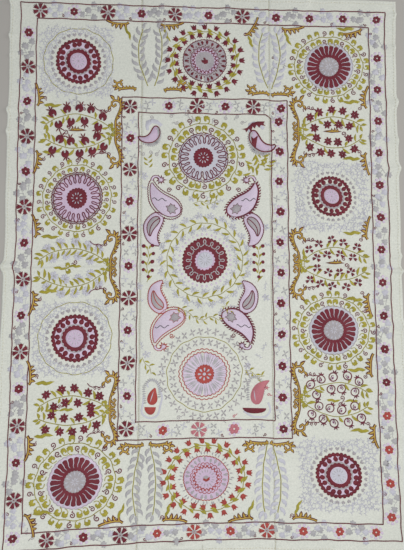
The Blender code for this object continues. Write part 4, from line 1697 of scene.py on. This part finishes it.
lilac_body = Shape().patch(inner_path, 0.5, 0.8).patch(small_path, 0.6, 0.8, 0.1)
grey_core = Shape().patch(core_path, 0.7, 0.8, 0.3)
grey_flower = Shape().patch(flower, 0.6, 0.5, 0.3)
DARK = silk_material("dark_thread", linear(70, 66, 70), linear(44, 40, 44))
squiggle = Shape().stroke([(6 * number - 22, 26 + 5 * math.sin(1.3 * number)) for number in range(10)], 3.2,
                          0.7, base=0.3)
burgundy_layers += [(paisley_lines(False), PAISLEYS[0:1]), (paisley_lines(True), PAISLEYS[1::2])]
brick_layers.append((paisley_lines(False), PAISLEYS[2:3]))
pale_lilac_layers += [(lilac_body, PAISLEYS), (tip_fill, PAISLEYS)]
grey_layers += [(grey_core, PAISLEYS), (grey_flower, PAISLEYS)]
dark_layers = [(squiggle, PAISLEYS)]

# ---------------------------------------------------------------------------------------------
# A single paisley stands in each corner of the middle field: crimson ones with a curled tail at
# the far end, and a vermilion and a rose drop, each over a small cup, at the near end. Grey
# spikes and a pale lavender border lie round them.
DROP = Paisley(6, 28, -1.5, 112, 36, -2.6)
ROSE_DROP = Paisley(4, -38, 1.75, 112, 46, -1.5)
VERMILION_DROP = Paisley(-4, -26, 1.5, 66, 38, -0.4)
CRIMSON_CUP = bowl(-8, -49, 88, 22)
VERMILION_CUP = bowl(-9, -34, 42, 28)
CLOUD = ((-34, 26), (-30, 46), (-8, 56), (14, 50), (34, 32), (22, 24), (10, 36), (-8, 38), (-20, 26),
         (-22, 8), (-32, 10))
FEATHER = ((-45, 32), (-30, 36), (-14, 52), (4, 58), (26, 58), (22, 50), (28, 44), (14, 46), (8, 38),
           (0, 46), (-6, 34),
           (-12, 40), (-18, 22), (-24, 32), (-32, 22), (-36, 30))
FAR_LEFT_CORNER = (Place(-0.186, 0.505),)
FAR_RIGHT_CORNER = (Place(0.200, 0.486, math.pi, 1.2, -1),)
NEAR_LEFT_CORNER = (Place(-0.184, -0.478),)
NEAR_RIGHT_CORNER = (Place(0.193, -0.472),)
far_corners = FAR_LEFT_CORNER + FAR_RIGHT_CORNER
drop_line = Shape().stroke(paisley(DROP), 4.2, 1.1, True, 0.3)
crimson_layers += [
    (drop_line, far_corners),
    (Shape().patch([(2, -32), (14, -12), (15, 8), (6, 2), (-8, 14), (-5, 0)], 0.9, 0.7, 0.3),
     FAR_RIGHT_CORNER),
    (Shape().patch(FEATHER, 0.9), [Place(0.204, 0.484, 0.0, 1.25)]),
    (Shape().patch(CRIMSON_CUP, 0.9), NEAR_RIGHT_CORNER),
]
lilac_layers += [(Shape().patch(paisley(DROP, 2.5), 0.6), far_corners)]
vermilion_layers += [
    (Shape().patch(paisley(VERMILION_DROP), 0.9), NEAR_LEFT_CORNER),
    (Shape().patch(VERMILION_CUP, 0.9), NEAR_LEFT_CORNER),
]
rose_layers += [
    (Shape().patch(paisley(ROSE_DROP), 0.9), NEAR_RIGHT_CORNER),
    (Shape().patch(star_outline(6, 13.0, 4.5), 0.9), [Place(0.231, -0.446)]),
    (curl(6.0, 2.6, 1.2, 8.0), [Place(0.238, -0.472, 1.4), Place(0.111, -0.553, 2.4)]),
]
pale_layers += [
    (Shape().patch(lens(44.0, 4.0, -22.0, 1.0), 0.7, 0.6, 0.8),
     [Place(-0.186, -0.474, 1.2), Place(0.188, -0.476, 1.75)]),
    (Shape().patch(CLOUD, 0.6), FAR_LEFT_CORNER + (Place(0.203, 0.500, 0.0, 1.0, 1),)),
    (Shape().stroke(rounded(((26, 30), (34, 4), (28, -28), (18, -62), (-12, -74), (-38, -58), (-36, -24),
                             (-32, 10))), 7.0, 0.6),
     NEAR_LEFT_CORNER),
    (Shape().stroke(rounded(((44, -28), (50, -54), (30, -80), (-12, -82), (-48, -62))), 7.0, 0.6),
     NEAR_RIGHT_CORNER),
    (Shape().stroke(rounded(((-14, 38), (-20, 52), (-6, 64), (14, 58), (26, 32))), 5.0, 0.6),
     NEAR_LEFT_CORNER),
]
grey_spikes = Shape()
toothed(grey_spikes, rounded(((22, 22), (27, 4), (24, -22), (12, -44), (-18, -54), (-44, -46)), step=4.0),
        7.5, -19.0, 0.2)
near_spikes = Shape()
toothed(near_spikes, rounded(((30, 4), (32, 36), (14, 64), (-14, 70), (-34, 44), (-36, 6), (-34, -30)),
                             step=4.0), 8.5, 15.0, -0.2)
soft_grey_layers += [(grey_spikes, far_corners), (near_spikes, NEAR_LEFT_CORNER + NEAR_RIGHT_CORNER)]

# ---------------------------------------------------------------------------------------------
# Small things fill the middle field: crimson bud sprigs at the sides, olive sprays beside the
# far rosette, four fine olive sprigs, pale florets and grey spirals.
BUD_SPRIGS = (Place(-0.206, 0.020), Place(0.206, 0.020, 0.0, 1.0, 1))
BUDS = ((-17, 58), (16, 60), (-16, 28), (18, 30), (-18, -2), (16, 0), (-16, -30), (17, -32), (2, -56))
bud_shape = Shape().patch(oval(15.0, 14.0, 10), 1.0)
bud_places = []
bud_leaves = []
for sprig_place in BUD_SPRIGS:
    for x, y in BUDS:
        bud_places.append(Place(sprig_place.x + x / 1000, sprig_place.y + y / 1000, uneven(1.0), 1.0
                                + uneven(0.1)))
        side = 1 if x > 0 else -1
        bud_leaves.append(Place(sprig_place.x + side * 0.002, sprig_place.y + (y - 14) / 1000, math.pi / 2
                                - side * 0.7, 0.75, side))
    stem = [(sprig_place.x * 1000 + 3 * math.sin(y / 11), sprig_place.y * 1000 + y)
            for y in range(-76, 62, 12)]
    olive_cords.append((smooth(stem), 0.0022))
SPRAYS = ((-204, 372, 1.7), (210, 388, 1.2), (196, 366, 1.9), (228, 372, 1.0), (204, 344, 2.6))
FINE_SPRIGS = (
    ((-40, 238), (-10, 246), (18, 236), (52, 252)), ((-30, -190), (0, -196), (26, -184), (58, -200)),
    ((-226, -330), (-214, -352), (-196, -366), (-190, -392)),
    ((150, -384), (176, -390), (196, -406), (222, -402)),
    ((-96, -148), (-70, -160), (-50, -172), (-36, -190)), ((66, -150), (88, -146), (96, -164), (84, -178)),
)
PALE_BITS = (
    (-44, 258), (-16, 226), (14, 256), (40, 228), (66, 250), (-228, 300), (-222, 340), (-238, 356),
    (-236, 150), (236, 150),
    (-98, -160), (-62, -180), (70, -168), (104, -148), (-60, -138), (112, 184), (-106, 180), (-232, -120),
    (232, -112),
    (-224, -290), (226, -292), (-210, -320), (206, -330), (-150, -380), (160, -370), (-238, 82), (238, 84),
    (-236, -70), (232, -66),
)
GREY_BITS = (
    (-196, 566), (-120, 572), (-100, 546), (-62, 576), (88, 566), (130, 574), (150, 548), (-228, 424),
    (-200, 430), (-176, 424),
    (-238, 452), (232, 436), (-36, 556), (40, 560), (-90, -554), (-56, -568), (70, -560), (-620, -934),
    (-600, -950),
)
pale_layers += [(sprig, at(PALE_BITS)), (pale_floret, at(PALE_BITS[::3], 1.1))]
grey_layers.append((curl(8.0, 2.2, 1.4, 10.0), at(GREY_BITS)))
for table in FINE_SPRIGS:
    line = smooth(table)
    olive_cords.append((line, 0.0018))
    for number, x, y, heading, side in beside(line, 0.013, 0.001, 0.004):
        bud_leaves.append(Place(x, y, heading + side * 0.8, 0.7, side))
for x, y, turn in SPRAYS:
    for number in range(5):
        bud_leaves.append(Place((x + 9 * number * math.cos(turn)) / 1000,
                                (y + 9 * number * math.sin(turn)) / 1000,
                                turn + (0.8 if number % 2 else -0.8), 1.0 if x > 0 else 0.7, 1
                                if number % 2 else -1))
crimson_layers.append((bud_shape, bud_places))
olive_layers.append((lance, bud_leaves))


# ---------------------------------------------------------------------------------------------
# Now the shapes are sewn on, one silk at a time, so that each silk makes one piece: solid patches
# and lines of floss, with the olive vines as couched cords under their leaves.
sew("crimson_shapes", "crimson_silk", CRIMSON, crimson_layers)
sew("lilac_shapes", "lilac_silk", LILAC, lilac_layers)
sew("pale_lilac_shapes", "lilac_silk", PALE_LILAC, pale_lilac_layers)
sew("grey_shapes", "grey_silk", GREY, grey_layers)
sew("soft_grey_shapes", "grey_silk", FERN_GREY, soft_grey_layers)
sew("pale_shapes", "pale_silk", PALE, pale_layers)
sew("burgundy_lines", "crimson_silk", BURGUNDY, burgundy_layers)
sew("brick_shapes", "brick_silk", BRICK, brick_layers)
sew("vermilion_shapes", "brick_silk", VERMILION, vermilion_layers)
sew("rose_shapes", "rose_silk", ROSE, rose_layers)
sew("olive_vines", "olive_silk", OLIVE, olive_layers, olive_cords)
sew("brown_red_lines", "outline_silk", LINE_BROWN, brown_layers)
sew("gold_leaves", "gold_silk", GOLD, gold_layers)
sew("dark_squiggles", "dark_silk", DARK, dark_layers)

# ---------------------------------------------------------------------------------------------
# A plain pale floor and soft studio light: a large overhead panel, a low side light that shows
# the stitches' relief, and a pale world.
FLOOR_SIZE = 14.0


def pale_floor():
    """A wide plain floor under the cover."""
    mesh = bpy.data.meshes.new("floor")
    half = FLOOR_SIZE / 2
    mesh.from_pydata([(-half, -half, 0), (half, -half, 0), (half, half, 0), (-half, half, 0)], [],
                     [(0, 1, 2, 3)])
    material, shader, _ = new_material("pale_floor", 0.7, 0.0, 0.3)
    shader.inputs["Base Color"].default_value = linear(176, 172, 166)
    mesh.materials.append(material)
    floor = bpy.data.objects.new("floor", mesh)
    bpy.context.scene.collection.objects.link(floor)


def area_light(name, place, aim, size, power, colour):
    """A soft square light that points at a place."""
    data = bpy.data.lights.new(name, "AREA")
    data.shape = "SQUARE"
    data.size = size
    data.energy = power
    data.color = colour
    light = bpy.data.objects.new(name, data)
    light.location = place
    light.rotation_euler = (Vector(aim) - Vector(place)).to_track_quat("-Z", "Y").to_euler()
    bpy.context.scene.collection.objects.link(light)


pale_floor()
area_light("overhead", (-0.1, -0.9, 3.1), (0.0, -0.40, 0.0), 2.2, 56.0, (1.0, 0.995, 0.98))
area_light("side", (3.0, 1.2, 1.2), (0.0, 0.0, 0.0), 1.4, 27.0, (1.0, 0.98, 0.95))
world = bpy.data.worlds.new("studio")
world.use_nodes = True
world.node_tree.nodes["Background"].inputs["Color"].default_value = (0.93, 0.96, 1.0, 1.0)
world.node_tree.nodes["Background"].inputs["Strength"].default_value = 0.42
bpy.context.scene.world = world
bpy.context.scene.view_settings.view_transform = "Standard"
